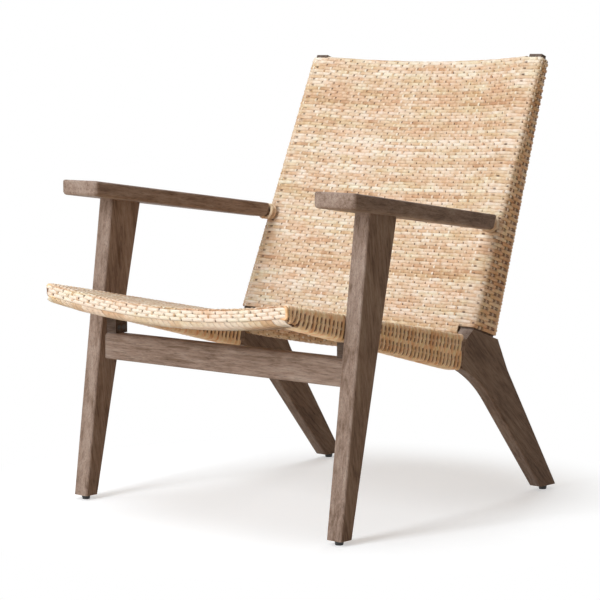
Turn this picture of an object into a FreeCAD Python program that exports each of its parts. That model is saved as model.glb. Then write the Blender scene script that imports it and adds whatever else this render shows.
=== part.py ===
"""Woven lounge chair: a hardwood frame with a seat and a back of woven cane.

Lengths are in millimetres. X runs across the chair, Z up from the floor. Depths are given back
from the seat's front edge, and every piece is shifted so that the middle of the chair's depth
stands at Y = 0. The chair faces -Y, and left and right are the sitter's.
"""
import FreeCAD
import Part
import Sketcher
import math
import os

SIZES = {
    # Front legs
    "leg_inner": 276.5,
    "leg_thickness": 32,
    "front_foot_front": 91,
    "front_foot_depth": 28,
    "front_top_front": 158.5,
    "front_top_depth": 70.5,
    "leg_ease": 4,
    # Arms
    "arm_front": 92,
    "arm_front_height": 534,
    "arm_fall_share": 0.13,
    "arm_thickness": 26.5,
    "arm_front_inner": 247.5,
    "arm_front_width": 87,
    "arm_rear_inner": 245,
    "arm_rear_width": 37,
    "arm_corner": 7.5,
    "arm_rear_corner": 7.5,
    "arm_lower_ease": 7,
    "arm_upper_ease": 3.5,
    "neck_across": 256,
    "neck_drop": 2,
    "neck_radius": 8,
    "tenon_radius": 6,
    "tenon_depth": 22,
    # Cane collars round the arm necks
    "collar_cane": 7,
    "collar_gap": 0.6,
    # Front stretcher and the blocks on it
    "stretcher_front": 139.5,
    "stretcher_depth": 26,
    "stretcher_height": 46,
    "stretcher_round": 8,
    "stretcher_ease": 3,
    "block_inset": 4,
    "block_width": 22.5,
    "block_height": 19,
    "block_depth": 28,
    # Board frame of the seat, the rear legs and the back
    "frame_inner": 241,
    "frame_thickness": 26,
    # Woven seat
    "seat_front_height": 386,
    "seat_fall_share": 0.185,
    "seat_weave": 7,
    "deck_drop": 1.5,
    "roll_height": 33,
    "roll_depth": 34,
    "roll_round": 13,
    "seat_dip": 21,
    "seat_rear_dip": 9,
    "sleeve_fall_share": 0.245,
    "sleeve_stop": 6,
    "rear_rail_depth": 22,
    "rear_rail_height": 13,
    # Rear legs
    "joint_bottom_depth": 457,
    "joint_drop": 57.5,
    "rear_elbow_reach": 58,
    "rear_elbow_drop": 29.5,
    "rear_elbow_ease": 50,
    "rear_foot_reach": 234,
    "rear_foot_depth": 46,
    "rear_bend_share": 0.812,
    "rear_bend_sag": 5.9,
    "rear_bend_ease": 9.5,
    "rear_chamfer_rise": 49,
    "rear_top_margin": 3,
    "rear_top_depth": 77,
    # Woven back
    "back_setback": 26.5,
    "back_rise": 66,
    "back_front_lean_share": 0.426,
    "back_length": 505,
    "back_foot_thickness": 66.5,
    "back_head_thickness": 21.7,
    "back_weave": 4,
    "back_panel": 6,
    "back_lean_in": 6,
    "post_cap": 3,
    "top_rail_height": 22,
    "top_rail_bow": 30,
    "bottom_rail_height": 26,
    "bottom_rail_drop": 8,
    "bottom_rail_thickness": 18,
    "bottom_rail_bow": 8,
    # Glides under the feet
    "glide_height": 8,
    "glide_radius": 8,
    "glide_ease": 1.5,
    "nail_radius": 1.2,
    "nail_length": 24,
    # Dowels and screws
    "leg_dowel_radius": 5,
    "leg_dowel_reach": 15,
    "rail_dowel_radius": 4,
    "rail_dowel_reach": 16,
    "back_dowel_reach": 10,
    "screw_radius": 2.2,
    "screw_reach": 14,
    "screw_head_radius": 4.2,
    "screw_head_height": 3,
    # Fits
    "fit": 0.15,
    "soft_gap": 0.3,
    "overrun": 40,
}
COLLAR_TURNS = 2.5
ARM_DOWEL_SHARES = (0.28, 0.72)
STRETCHER_DOWEL_SHARES = (0.27, 0.73)
BLOCK_SCREW_SHARES = (0.3, 0.7)
SEAT_DOWEL_SHARES = (0.25, 0.75)
SIDE_RAIL_DOWEL_SHARES = (0.22, 0.56)
REAR_RAIL_DOWEL_SHARES = (0.5,)
POST_DOWEL_SHARES = (0.5, 0.82)
BOTTOM_RAIL_DOWEL_SHARES = (0.65,)

document = FreeCAD.newDocument("WovenLoungeChair")
sheet = document.addObject("Spreadsheet::Sheet", "Sizes")
for row, (alias, number) in enumerate(SIZES.items(), start=1):
    sheet.set(f"A{row}", alias)
    sheet.set(f"B{row}", str(number))
    sheet.setAlias(f"B{row}", alias)
document.recompute()

Vector = FreeCAD.Vector
ACROSS = Vector(1, 0, 0)
DEEP = Vector(0, 1, 0)
UP = Vector(0, 0, 1)
nodes = []


def size(alias):
    """The number that the sheet holds under this name."""
    return float(getattr(sheet, alias))


def sized(expression):
    """The worth of a sheet expression, such as 'Sizes.leg_inner * 2'."""
    return float(sheet.evalExpression(expression))


REAR_FOOT_FRONT = "(Sizes.joint_bottom_depth + Sizes.rear_foot_reach)"
REAR_FOOT_REAR = f"({REAR_FOOT_FRONT} + Sizes.rear_foot_depth)"
SHIFT = Vector(0, -sized(REAR_FOOT_REAR) / 2, 0)


def keep(piece, label):
    """Take a finished object as the part's node with this label."""
    piece.Label = label
    nodes.append(piece)
    return piece


def at(across, depth, height):
    """A place on the chair, from its distance across, its depth and its height."""
    return Vector(across, depth, height) + SHIFT


# Lines that several pieces follow, as sheet expressions and as numbers

def arm_under(depth):
    """Height of the arm's underside at a depth."""
    return f"(Sizes.arm_front_height - Sizes.arm_fall_share * (({depth}) - Sizes.arm_front))"


def seat_top(depth):
    """Height of the woven seat's top edge over the side rails at a depth."""
    return f"(Sizes.seat_front_height - Sizes.seat_fall_share * ({depth}))"


def sleeve_bottom(depth):
    """Height of the weave under the side rails at a depth."""
    front = "Sizes.seat_front_height - Sizes.roll_height"
    return f"({front} - Sizes.sleeve_fall_share * ({depth}))"


STRETCHER_REAR = "(Sizes.stretcher_front + Sizes.stretcher_depth)"
BLOCK_FRONT = "(Sizes.stretcher_front + Sizes.block_inset)"
BLOCK_REAR = f"({BLOCK_FRONT} + Sizes.block_depth)"
STRETCHER_TOP = f"({sleeve_bottom(BLOCK_REAR)} - Sizes.block_height)"
STRETCHER_BOTTOM = f"({STRETCHER_TOP} - Sizes.stretcher_height)"
JOINT_HEIGHT = f"({seat_top('Sizes.joint_bottom_depth')} - Sizes.joint_drop)"
ELBOW_DEPTH = "(Sizes.joint_bottom_depth + Sizes.rear_elbow_reach)"
ELBOW_HEIGHT = f"({JOINT_HEIGHT} - Sizes.rear_elbow_drop)"
CHAMFER_HEIGHT = f"({JOINT_HEIGHT} + Sizes.rear_chamfer_rise)"
BACK_DEPTH = "(Sizes.joint_bottom_depth + Sizes.back_setback)"
BACK_HEIGHT = f"({JOINT_HEIGHT} + Sizes.back_rise)"
LEAN_SHARE = "Sizes.back_front_lean_share"
TAPER_SHARE = "((Sizes.back_foot_thickness - Sizes.back_head_thickness) / Sizes.back_length)"
RAKE_SHARE = f"(({LEAN_SHARE} - {TAPER_SHARE}) / (1 + {LEAN_SHARE} * {TAPER_SHARE}))"
RAKE = math.atan(sized(RAKE_SHARE))


def joint_front(height):
    """Depth of the rear leg's front face, square to the seat, at a height."""
    rise = f"({height}) - {JOINT_HEIGHT}"
    return f"(Sizes.joint_bottom_depth + Sizes.seat_fall_share * ({rise}))"


def back_front(along):
    """How far the woven front lies inward of the back's front foot, at a place along the back."""
    return f"(({along}) * {TAPER_SHARE})"


COLLAR_PITCH = "(Sizes.collar_cane + Sizes.collar_gap)"
COLLAR_SLACK = "(Sizes.collar_cane / 2)"
COLLAR_LENGTH = f"({COLLAR_TURNS} * {COLLAR_PITCH} + Sizes.collar_cane + {COLLAR_SLACK})"


def arm_stop(rise, room=COLLAR_LENGTH):
    """Depth at which a line raised from the arm's underside comes within a room of the woven back."""
    front = f"Sizes.arm_front_height + ({rise}) + Sizes.arm_fall_share * Sizes.arm_front"
    face = f"{BACK_DEPTH} + {LEAN_SHARE} * ({front} - {BACK_HEIGHT})"
    ahead = f"({room}) * sqrt(1 + {LEAN_SHARE} ^ 2)"
    return f"(({face} - {ahead}) / (1 + {LEAN_SHARE} * Sizes.arm_fall_share))"


def back_point(across, inward, along):
    """A place on the back, from its front foot: inward from the front, along the rear rake."""
    depth = sized(BACK_DEPTH) + inward * math.cos(RAKE) + along * math.sin(RAKE)
    height = sized(BACK_HEIGHT) - inward * math.sin(RAKE) + along * math.cos(RAKE)
    return at(across, depth, height)


BACK_FRAME = FreeCAD.Placement(back_point(0, 0, 0), FreeCAD.Rotation(ACROSS, -math.degrees(RAKE)))


# Building blocks

def new_body(name):
    """An empty body, shifted to the middle of the chair's depth."""
    body = document.addObject("PartDesign::Body", name)
    body.Placement = FreeCAD.Placement(SHIFT, FreeCAD.Rotation())
    return body


def plane_of(body, role):
    """One of the body's own origin planes."""
    return next(plane for plane in body.Origin.OriginFeatures if plane.Role == role)


def new_sketch(body, role, offset=None):
    """A sketch on an origin plane of the body, moved along the plane's normal."""
    sketch = body.newObject("Sketcher::SketchObject", body.Name + "Sketch")
    sketch.AttachmentSupport = [(plane_of(body, role), "")]
    sketch.MapMode = "FlatFace"
    if offset:
        sketch.setExpression("AttachmentOffset.Base.z", offset)
    return sketch


def pin_point(sketch, line, end, corner):
    """Hold one end of a line at a corner given by two sheet expressions."""
    for kind, expression in zip(("DistanceX", "DistanceY"), corner):
        worth = sized(expression)
        index = sketch.addConstraint(Sketcher.Constraint(kind, -1, 1, line, end, worth))
        sketch.setExpression(f"Constraints[{index}]", expression)


def outline(sketch, corners):
    """A closed outline of straight lines through corners given by sheet expressions."""
    points = [Vector(sized(across), sized(upward), 0) for across, upward in corners]
    for start, end in zip(points, points[1:] + points[:1]):
        sketch.addGeometry(Part.LineSegment(start, end), False)
    for line, corner in enumerate(corners):
        before = (line - 1) % len(corners)
        sketch.addConstraint(Sketcher.Constraint("Coincident", before, 2, line, 1))
        pin_point(sketch, line, 1, corner)


def bowed_outline(sketch, half, low, thickness, bow):
    """A bowed bar seen flat: two straight ends, and two arcs that rise by the bow at the middle."""
    high = f"({low}) + ({thickness})"
    for across in (f"-({half})", half):
        end = sketch.addGeometry(Part.LineSegment(
            Vector(sized(across), sized(low), 0), Vector(sized(across), sized(high), 0)), False)
        pin_point(sketch, end, 1, (across, low))
        pin_point(sketch, end, 2, (across, high))
    sides = (0, 1) if sized(bow) < 0 else (1, 0)
    for corner, level in ((1, low), (2, high)):
        ends = [Vector(sized(across), sized(level), 0) for across in (f"-({half})", half)]
        middle = Vector(0, sized(level) + sized(bow), 0)
        arc_index = sketch.addGeometry(Part.Arc(ends[sides[0]], middle, ends[sides[1]]), False)
        sketch.addConstraint(Sketcher.Constraint("Coincident", arc_index, 1, sides[0], corner))
        sketch.addConstraint(Sketcher.Constraint("Coincident", arc_index, 2, sides[1], corner))
        radius = f"abs((({half}) ^ 2 + ({bow}) ^ 2) / (2 * ({bow})))"
        index = sketch.addConstraint(Sketcher.Constraint("Radius", arc_index, sized(radius)))
        sketch.setExpression(f"Constraints[{index}]", radius)


def pad(body, sketch, length, backwards=False):
    """Pad a sketch by a sheet expression."""
    feature = body.newObject("PartDesign::Pad", body.Name + "Pad")
    feature.Profile = sketch
    feature.setExpression("Length", length)
    feature.Reversed = backwards
    document.recompute()
    return feature


def cut_through(body, sketch):
    """Pocket a sketch right through the body, both ways from its plane."""
    before = body.Shape.Volume
    feature = body.newObject("PartDesign::Pocket", body.Name + "Pocket")
    feature.Profile = sketch
    feature.Type = "ThroughAll"
    feature.Midplane = True
    document.recompute()
    if body.Shape.Volume >= before:
        raise RuntimeError(f"the pocket of {body.Name} cuts nothing")
    return feature


def round_edges(body, feature, wanted, radius):
    """Fillet the edges of the body's last feature that the test wants."""
    names = [f"Edge{number}" for number, edge in enumerate(feature.Shape.Edges, start=1) if wanted(edge)]
    fillet = body.newObject("PartDesign::Fillet", body.Name + "Fillet")
    fillet.Base = (feature, names)
    fillet.setExpression("Radius", radius)
    document.recompute()
    return fillet


def direction(edge):
    """Unit vector along a straight edge, or nothing for a curved one."""
    if not isinstance(edge.Curve, Part.Line):
        return None
    return (edge.Vertexes[-1].Point - edge.Vertexes[0].Point).normalize()


def runs_along(edge, line):
    """Whether an edge is straight and parallel to a line."""
    course = direction(edge)
    return course is not None and abs(course.dot(line)) > math.cos(math.radians(1))


def lies_at(edge, depth, height):
    """Whether an edge's middle lies at a depth and a height, seen from the side."""
    middle = edge.BoundBox.Center
    return math.hypot(middle.y - depth, middle.z - height) < size("fit")


def peg(name, radius, start, course, length):
    """A round peg from a place, along a course, for a length."""
    cylinder = document.addObject("Part::Cylinder", name)
    cylinder.setExpression("Radius", radius)
    cylinder.setExpression("Height", length)
    cylinder.Placement = FreeCAD.Placement(start, FreeCAD.Rotation(UP, course))
    return cylinder


def fastened(name, radius, reach, places):
    """Dowels of one kind at places (middle, course), and the bores that take them."""
    dowels = []
    bores = []
    for middle, course in places:
        start = middle - course * size(reach)
        bore_start = middle - course * (size(reach) + size("fit"))
        dowels.append(peg(name + "Dowel", f"Sizes.{radius}", start, course, f"Sizes.{reach} * 2"))
        bores.append(peg(name + "Bore", f"Sizes.{radius} + Sizes.fit", bore_start, course,
                         f"(Sizes.{reach} + Sizes.fit) * 2"))
    return dowels, bores


def drilled(body, tools, label):
    """Cut tools out of a piece and keep the result as a node."""
    cut = document.addObject("Part::Cut", body.Name + "Drilled")
    cut.Base = body
    cut.Tool = together(tools, body.Name + "Tools")
    document.recompute()
    return keep(cut, label)


def together(pieces, name):
    """A group of separate solids."""
    group = document.addObject("Part::Compound", name)
    group.Links = pieces
    return group


def mirrored(piece, label):
    """The same piece on the chair's right side."""
    mirror = document.addObject("Part::Mirroring", piece.Name + "Mirror")
    mirror.Source = piece
    mirror.Normal = ACROSS
    mirror.Base = Vector(0, 0, 0)
    document.recompute()
    return keep(mirror, label)


def flipped(places):
    """Places (middle, course) with their mirror images on the right side."""
    far = [(Vector(-spot.x, spot.y, spot.z), Vector(-course.x, course.y, course.z)) for spot, course in places]
    return places + far


def between(low, high, share):
    """A number a share of the way from one to another."""
    return low + (high - low) * share


# Where the dowels and screws go, on the left side

LEG_MIDDLE = size("leg_inner") + size("leg_thickness") / 2
FRAME_OUTER = size("frame_inner") + size("frame_thickness")
FRAME_MIDDLE = size("frame_inner") + size("frame_thickness") / 2
ARM_NORMAL = Vector(0, size("arm_fall_share"), 1).normalize()

arm_dowel_places = []
for share in ARM_DOWEL_SHARES:
    spot_depth = size("front_top_front") + size("front_top_depth") * share
    arm_dowel_places.append((at(LEG_MIDDLE, spot_depth, sized(arm_under(spot_depth))), ARM_NORMAL))

stretcher_dowel_places = []
for share in STRETCHER_DOWEL_SHARES:
    spot_height = sized(STRETCHER_BOTTOM) + size("stretcher_height") * share
    spot_depth = size("stretcher_front") + size("stretcher_depth") / 2
    stretcher_dowel_places.append((at(size("leg_inner"), spot_depth, spot_height), ACROSS))

block_screw_places = []
for share in BLOCK_SCREW_SHARES:
    spot_depth = between(sized(BLOCK_FRONT), sized(BLOCK_REAR), share)
    spot_height = sized(STRETCHER_TOP) + size("block_height") / 2
    block_screw_places.append((at(size("leg_inner"), spot_depth, spot_height), ACROSS))

seat_dowel_places = []
for share in SEAT_DOWEL_SHARES:
    spot_depth = between(sized(BLOCK_FRONT), sized(BLOCK_REAR), share)
    spot_height = between(sized(seat_top(str(spot_depth))), sized(sleeve_bottom(str(spot_depth))), 1 / 2)
    seat_dowel_places.append((at(size("leg_inner"), spot_depth, spot_height), ACROSS))

RAIL_COURSE = Vector(0, 1, -size("seat_fall_share")).normalize()
joint_top = sized(seat_top("Sizes.joint_bottom_depth")) - size("seat_weave")
joint_low = sized(sleeve_bottom("Sizes.joint_bottom_depth")) + size("seat_weave")
side_rail_dowel_places = []
for share in SIDE_RAIL_DOWEL_SHARES:
    spot_height = between(joint_low, joint_top, share)
    spot_depth = sized(joint_front(str(spot_height)))
    side_rail_dowel_places.append((at(FRAME_MIDDLE, spot_depth, spot_height), RAIL_COURSE))

FRONT_RAIL_FRONT = size("seat_weave")
FRONT_RAIL_DEPTH = size("roll_depth") - size("seat_weave") * 2
FRONT_RAIL_HEIGHT = (
    size("roll_height") - size("seat_weave") * 2 - size("seat_fall_share") * size("roll_depth") / 2)
FRONT_RAIL_BOW = size("seat_dip") * (size("frame_inner") / (FRAME_OUTER + size("seat_weave"))) ** 2
FRONT_RAIL_LOW = (
    size("seat_front_height") - size("roll_height") + size("seat_weave") - size("seat_dip") + FRONT_RAIL_BOW)
front_rail_dowel_places = [(
    at(size("frame_inner"), FRONT_RAIL_FRONT + FRONT_RAIL_DEPTH / 2, FRONT_RAIL_LOW + FRONT_RAIL_HEIGHT / 2),
    ACROSS)]

REAR_RAIL_FRONT = sized(joint_front(CHAMFER_HEIGHT))
REAR_RAIL_TOP = sized(seat_top(str(REAR_RAIL_FRONT + size("rear_rail_depth")))) - size("seat_weave")
REAR_RAIL_LOW = REAR_RAIL_TOP - size("rear_rail_height")
rear_rail_dowel_places = []
for share in REAR_RAIL_DOWEL_SHARES:
    spot_height = REAR_RAIL_LOW + size("rear_rail_height") * share
    spot = at(size("frame_inner"), REAR_RAIL_FRONT + size("rear_rail_depth") / 2, spot_height)
    rear_rail_dowel_places.append((spot, ACROSS))

POST_LENGTH = "(Sizes.back_length + Sizes.post_cap)"
POST_REAR = "(Sizes.back_foot_thickness - Sizes.back_weave)"
post_dowel_places = []
for share in POST_DOWEL_SHARES:
    spot = back_point(FRAME_MIDDLE, between(size("back_weave"), sized(POST_REAR), share), 0)
    post_dowel_places.append((spot, BACK_FRAME.Rotation.multVec(UP)))


def post_lean(along):
    """How far the posts have leant towards the middle, at a place along the back."""
    return f"(Sizes.back_lean_in * ({along}) / {POST_LENGTH})"


TOP_RAIL_HEAD = "(Sizes.back_length - Sizes.back_weave)"
TOP_RAIL_FOOT = f"({TOP_RAIL_HEAD} - Sizes.top_rail_height)"
TOP_RAIL_FRONT = f"({back_front(TOP_RAIL_HEAD)} + Sizes.back_weave)"
TOP_RAIL_THICKNESS = f"({POST_REAR} - {TOP_RAIL_FRONT})"
TOP_RAIL_HALF = f"(Sizes.frame_inner - {post_lean(TOP_RAIL_HEAD)} - Sizes.fit)"
BOTTOM_RAIL_FOOT = "(Sizes.back_weave + Sizes.soft_gap - Sizes.bottom_rail_drop)"
BOTTOM_RAIL_HEAD = f"({BOTTOM_RAIL_FOOT} + Sizes.bottom_rail_height)"
BOTTOM_RAIL_FRONT = f"({back_front(BOTTOM_RAIL_HEAD)} + Sizes.back_weave)"
BOTTOM_RAIL_HALF = f"(Sizes.frame_inner - {post_lean(BOTTOM_RAIL_HEAD)} - Sizes.fit)"
back_rail_dowel_places = [(
    back_point(sized(TOP_RAIL_HALF), sized(f"{TOP_RAIL_FRONT} + {TOP_RAIL_THICKNESS} / 2"),
               between(sized(TOP_RAIL_FOOT), sized(TOP_RAIL_HEAD), 1 / 2)), ACROSS)]
for share in BOTTOM_RAIL_DOWEL_SHARES:
    spot = back_point(sized(BOTTOM_RAIL_HALF), sized(f"{BOTTOM_RAIL_FRONT} + Sizes.bottom_rail_thickness / 2"),
                      between(sized(BOTTOM_RAIL_FOOT), sized(BOTTOM_RAIL_HEAD), share))
    back_rail_dowel_places.append((spot, ACROSS))

arm_dowels, arm_bores = fastened("Arm", "leg_dowel_radius", "leg_dowel_reach", flipped(arm_dowel_places))
stretcher_dowels, stretcher_bores = fastened(
    "Stretcher", "leg_dowel_radius", "leg_dowel_reach", flipped(stretcher_dowel_places))
seat_dowels, seat_bores = fastened("Seat", "rail_dowel_radius", "rail_dowel_reach", flipped(seat_dowel_places))
side_rail_dowels, side_rail_bores = fastened(
    "SideRail", "rail_dowel_radius", "rail_dowel_reach", flipped(side_rail_dowel_places))
front_rail_dowels, front_rail_bores = fastened(
    "FrontRail", "rail_dowel_radius", "rail_dowel_reach", flipped(front_rail_dowel_places))
rear_rail_dowels, rear_rail_bores = fastened(
    "RearRail", "rail_dowel_radius", "rail_dowel_reach", flipped(rear_rail_dowel_places))
post_dowels, post_bores = fastened("Post", "leg_dowel_radius", "leg_dowel_reach", flipped(post_dowel_places))
back_rail_dowels, back_rail_bores = fastened(
    "BackRail", "rail_dowel_radius", "back_dowel_reach", flipped(back_rail_dowel_places))


def left_ones(tools):
    """The tools on the chair's left side."""
    return [tool for tool in tools if tool.Placement.Base.x > 0]


def make_glides():
    """Black glides under the four feet, and the nails that hold them."""
    feet = []
    for across, front, rear in (
            (LEG_MIDDLE, size("front_foot_front"), size("front_foot_front") + size("front_foot_depth")),
            (FRAME_MIDDLE, sized(REAR_FOOT_FRONT), sized(REAR_FOOT_REAR))):
        feet.append((at(across, between(front, rear, 1 / 2), 0), UP))
    pads = []
    nails = []
    bores = []
    for foot, course in flipped(feet):
        cone = document.addObject("Part::Cone", "GlidePad")
        cone.setExpression("Radius1", "Sizes.glide_radius - Sizes.glide_ease")
        cone.setExpression("Radius2", "Sizes.glide_radius")
        cone.setExpression("Height", "Sizes.glide_height")
        cone.Placement = FreeCAD.Placement(foot, FreeCAD.Rotation())
        nail_foot = foot + UP * (size("glide_height") / 2)
        bore_foot = nail_foot - UP * size("fit")
        nails.append(peg("GlideNail", "Sizes.nail_radius", nail_foot, course, "Sizes.nail_length"))
        bore = peg("GlideBore", "Sizes.nail_radius + Sizes.fit", bore_foot, course,
                   "Sizes.nail_length + Sizes.fit * 2")
        bores.append(bore)
        glide = document.addObject("Part::Cut", "Glide")
        glide.Base = cone
        glide.Tool = bore
        pads.append(glide)
    document.recompute()
    keep(together(pads, "Glides"), "glides")
    keep(together(nails, "Nails"), "glide_nails")
    return bores


def make_block_screws():
    """Screws that hold the seat blocks to the front legs, and the bores that take them."""
    screws = []
    bores = []
    for spot, course in flipped(block_screw_places):
        head_end = spot - course * size("block_width")
        bore_end = head_end - course * size("fit")
        screw = document.addObject("Part::Fuse", "BlockScrew")
        screw.Base = peg("ScrewHead", "Sizes.screw_head_radius", head_end, course, "Sizes.screw_head_height")
        screw.Tool = peg("ScrewShank", "Sizes.screw_radius", head_end, course,
                         "Sizes.block_width + Sizes.screw_reach")
        screws.append(screw)
        bores.append(peg("ScrewHeadBore", "Sizes.screw_head_radius + Sizes.fit", bore_end, course,
                         "Sizes.screw_head_height + Sizes.fit * 2"))
        bores.append(peg("ScrewBore", "Sizes.screw_radius + Sizes.fit", bore_end, course,
                         "Sizes.block_width + Sizes.screw_reach + Sizes.fit * 2"))
    document.recompute()
    keep(together(screws, "BlockScrews"), "block_screws")
    return bores


def make_front_legs(glide_bores, screw_bores):
    """Front legs: boards that taper to the foot and stand outside the seat."""
    body = new_body("FrontLeg")
    foot_rear = "Sizes.front_foot_front + Sizes.front_foot_depth"
    top_rear = "Sizes.front_top_front + Sizes.front_top_depth"
    sketch = new_sketch(body, "YZ_Plane", "Sizes.leg_inner")
    outline(sketch, [
        ("Sizes.front_foot_front", "Sizes.glide_height"),
        (foot_rear, "Sizes.glide_height"),
        (top_rear, arm_under(top_rear)),
        ("Sizes.front_top_front", arm_under("Sizes.front_top_front")),
    ])
    board = pad(body, sketch, "Sizes.leg_thickness")
    round_edges(body, board, lambda edge: edge.Length > size("arm_front_height") / 2, "Sizes.leg_ease")
    bores = left_ones(arm_bores + stretcher_bores + seat_bores + screw_bores + glide_bores)
    leg = drilled(body, bores, "front_leg_left")
    mirrored(leg, "front_leg_right")


def make_rear_legs(glide_bores):
    """Rear legs: boards that carry the side rails and the back, with an elbow towards the foot."""
    body = new_body("RearLeg")
    slope = f"sqrt(1 + {RAKE_SHARE} ^ 2)"
    top = []
    for inward in ("Sizes.rear_top_margin", "(Sizes.rear_top_margin + Sizes.rear_top_depth)"):
        top.append((f"{BACK_DEPTH} + {inward} / {slope}",
                    f"{BACK_HEIGHT} - {inward} * {RAKE_SHARE} / {slope}"))
    sketch = new_sketch(body, "YZ_Plane", "Sizes.frame_inner")
    joint = ("Sizes.joint_bottom_depth", JOINT_HEIGHT)
    elbow = (ELBOW_DEPTH, ELBOW_HEIGHT)
    toe = (REAR_FOOT_FRONT, "Sizes.glide_height")
    heel = (REAR_FOOT_REAR, "Sizes.glide_height")
    bend = sagged(heel, top[1], "Sizes.rear_bend_share", "Sizes.rear_bend_sag")
    chamfer = (joint_front(CHAMFER_HEIGHT), CHAMFER_HEIGHT)
    outline(sketch, [joint, elbow, toe, heel, bend, top[1], top[0], chamfer])
    board = pad(body, sketch, "Sizes.frame_thickness")
    eased = round_edges(body, board, lambda edge: lies_at(
        edge, sized(ELBOW_DEPTH), sized(ELBOW_HEIGHT)), ease_radius(joint, elbow, toe, "rear_elbow_ease"))
    bent = round_edges(body, eased, lambda edge: lies_at(
        edge, sized(bend[0]), sized(bend[1])), ease_radius(heel, bend, top[1], "rear_bend_ease"))
    round_edges(body, bent, is_rear_leg_arris, "Sizes.stretcher_ease")
    bores = left_ones(side_rail_bores + rear_rail_bores + post_bores + glide_bores)
    leg = drilled(body, bores, "rear_leg_left")
    mirrored(leg, "rear_leg_right")


def sagged(start, end, share, sag):
    """A corner that sags inward from the line between two corners, at a share of its length."""
    run = f"(({end[0]}) - ({start[0]}))"
    rise = f"(({end[1]}) - ({start[1]}))"
    length = f"sqrt({run} ^ 2 + {rise} ^ 2)"
    return (f"({start[0]}) + {run} * {share} - {sag} * {rise} / {length}",
            f"({start[1]}) + {rise} * {share} + {sag} * {run} / {length}")


def ease_radius(before, corner, after, reach):
    """Radius of the arc that rounds a corner from a reach ahead of it."""
    spots = [Vector(0, sized(depth), sized(height)) for depth, height in (before, corner, after)]
    turn = (spots[0] - spots[1]).getAngle(spots[2] - spots[1])
    return f"Sizes.{reach} * {math.tan(turn / 2)}"


def is_rear_leg_arris(edge):
    """Whether an edge runs down the rear leg, along its front or its rear."""
    middle = edge.BoundBox.Center
    below = middle.z < sized(JOINT_HEIGHT) and edge.BoundBox.ZLength > size("glide_height")
    behind = middle.y > sized(ELBOW_DEPTH) and edge.BoundBox.ZLength > edge.BoundBox.YLength
    return edge.BoundBox.XLength < size("fit") and (below or behind)


def make_front_stretcher():
    """Board between the front legs, below the seat."""
    body = new_body("FrontStretcher")
    sketch = new_sketch(body, "YZ_Plane", "-Sizes.leg_inner")
    outline(sketch, [
        ("Sizes.stretcher_front", STRETCHER_BOTTOM),
        (STRETCHER_REAR, STRETCHER_BOTTOM),
        (STRETCHER_REAR, STRETCHER_TOP),
        ("Sizes.stretcher_front", STRETCHER_TOP),
    ])
    board = pad(body, sketch, "Sizes.leg_inner * 2")
    upper = round_edges(body, board, lambda edge: lies_at(
        edge, size("stretcher_front"), sized(STRETCHER_TOP)), "Sizes.stretcher_round")
    round_edges(body, upper, lambda edge: runs_along(edge, ACROSS) and not upper_face(edge), "Sizes.stretcher_ease")
    drilled(body, stretcher_bores, "front_stretcher")


def upper_face(edge):
    """Whether an edge lies at the top of the stretcher or on its rounded front."""
    middle = edge.BoundBox.Center
    near_front = middle.y < size("stretcher_front") + size("stretcher_depth") / 2
    return near_front and middle.z > sized(STRETCHER_TOP) - size("stretcher_height") / 2


def make_seat_blocks(screw_bores):
    """Blocks that stand on the stretcher, inside the front legs, and carry the seat."""
    body = new_body("SeatBlock")
    sketch = new_sketch(body, "YZ_Plane", "Sizes.leg_inner - Sizes.block_width")
    outline(sketch, [
        (BLOCK_FRONT, STRETCHER_TOP),
        (BLOCK_REAR, STRETCHER_TOP),
        (BLOCK_REAR, f"{sleeve_bottom(BLOCK_REAR)} - Sizes.soft_gap"),
        (BLOCK_FRONT, f"{sleeve_bottom(BLOCK_FRONT)} - Sizes.soft_gap"),
    ])
    pad(body, sketch, "Sizes.block_width")
    block = drilled(body, left_ones(screw_bores), "seat_block_left")
    mirrored(block, "seat_block_right")


def arm_axis(depth):
    """Height of the arm neck's axis at a depth."""
    return sized(arm_under(str(depth))) + size("arm_thickness") / 2 - size("neck_drop")


ARM_COURSE = Vector(0, 1, -size("arm_fall_share")).normalize()
NECK_RISE = "(Sizes.arm_thickness / 2 - Sizes.neck_drop)"
NECK_START = sized(arm_stop(NECK_RISE)) - size("arm_thickness")
NECK_STOP = sized(arm_stop(f"{NECK_RISE} - Sizes.neck_radius", "Sizes.soft_gap"))
TENON_STOP = sized(arm_stop(NECK_RISE, "0")) + size("tenon_depth")


def neck_tool(name, radius, stop, clearance):
    """A round bar on the arm neck's axis, from inside the arm to a depth."""
    start = at(size("neck_across"), NECK_START, arm_axis(NECK_START))
    end = at(size("neck_across"), stop + clearance, arm_axis(stop + clearance))
    bar = document.addObject("Part::Cylinder", name)
    bar.Radius = size(radius) + clearance
    bar.Height = (end - start).Length
    bar.Placement = FreeCAD.Placement(start, FreeCAD.Rotation(UP, ARM_COURSE))
    return bar


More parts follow.
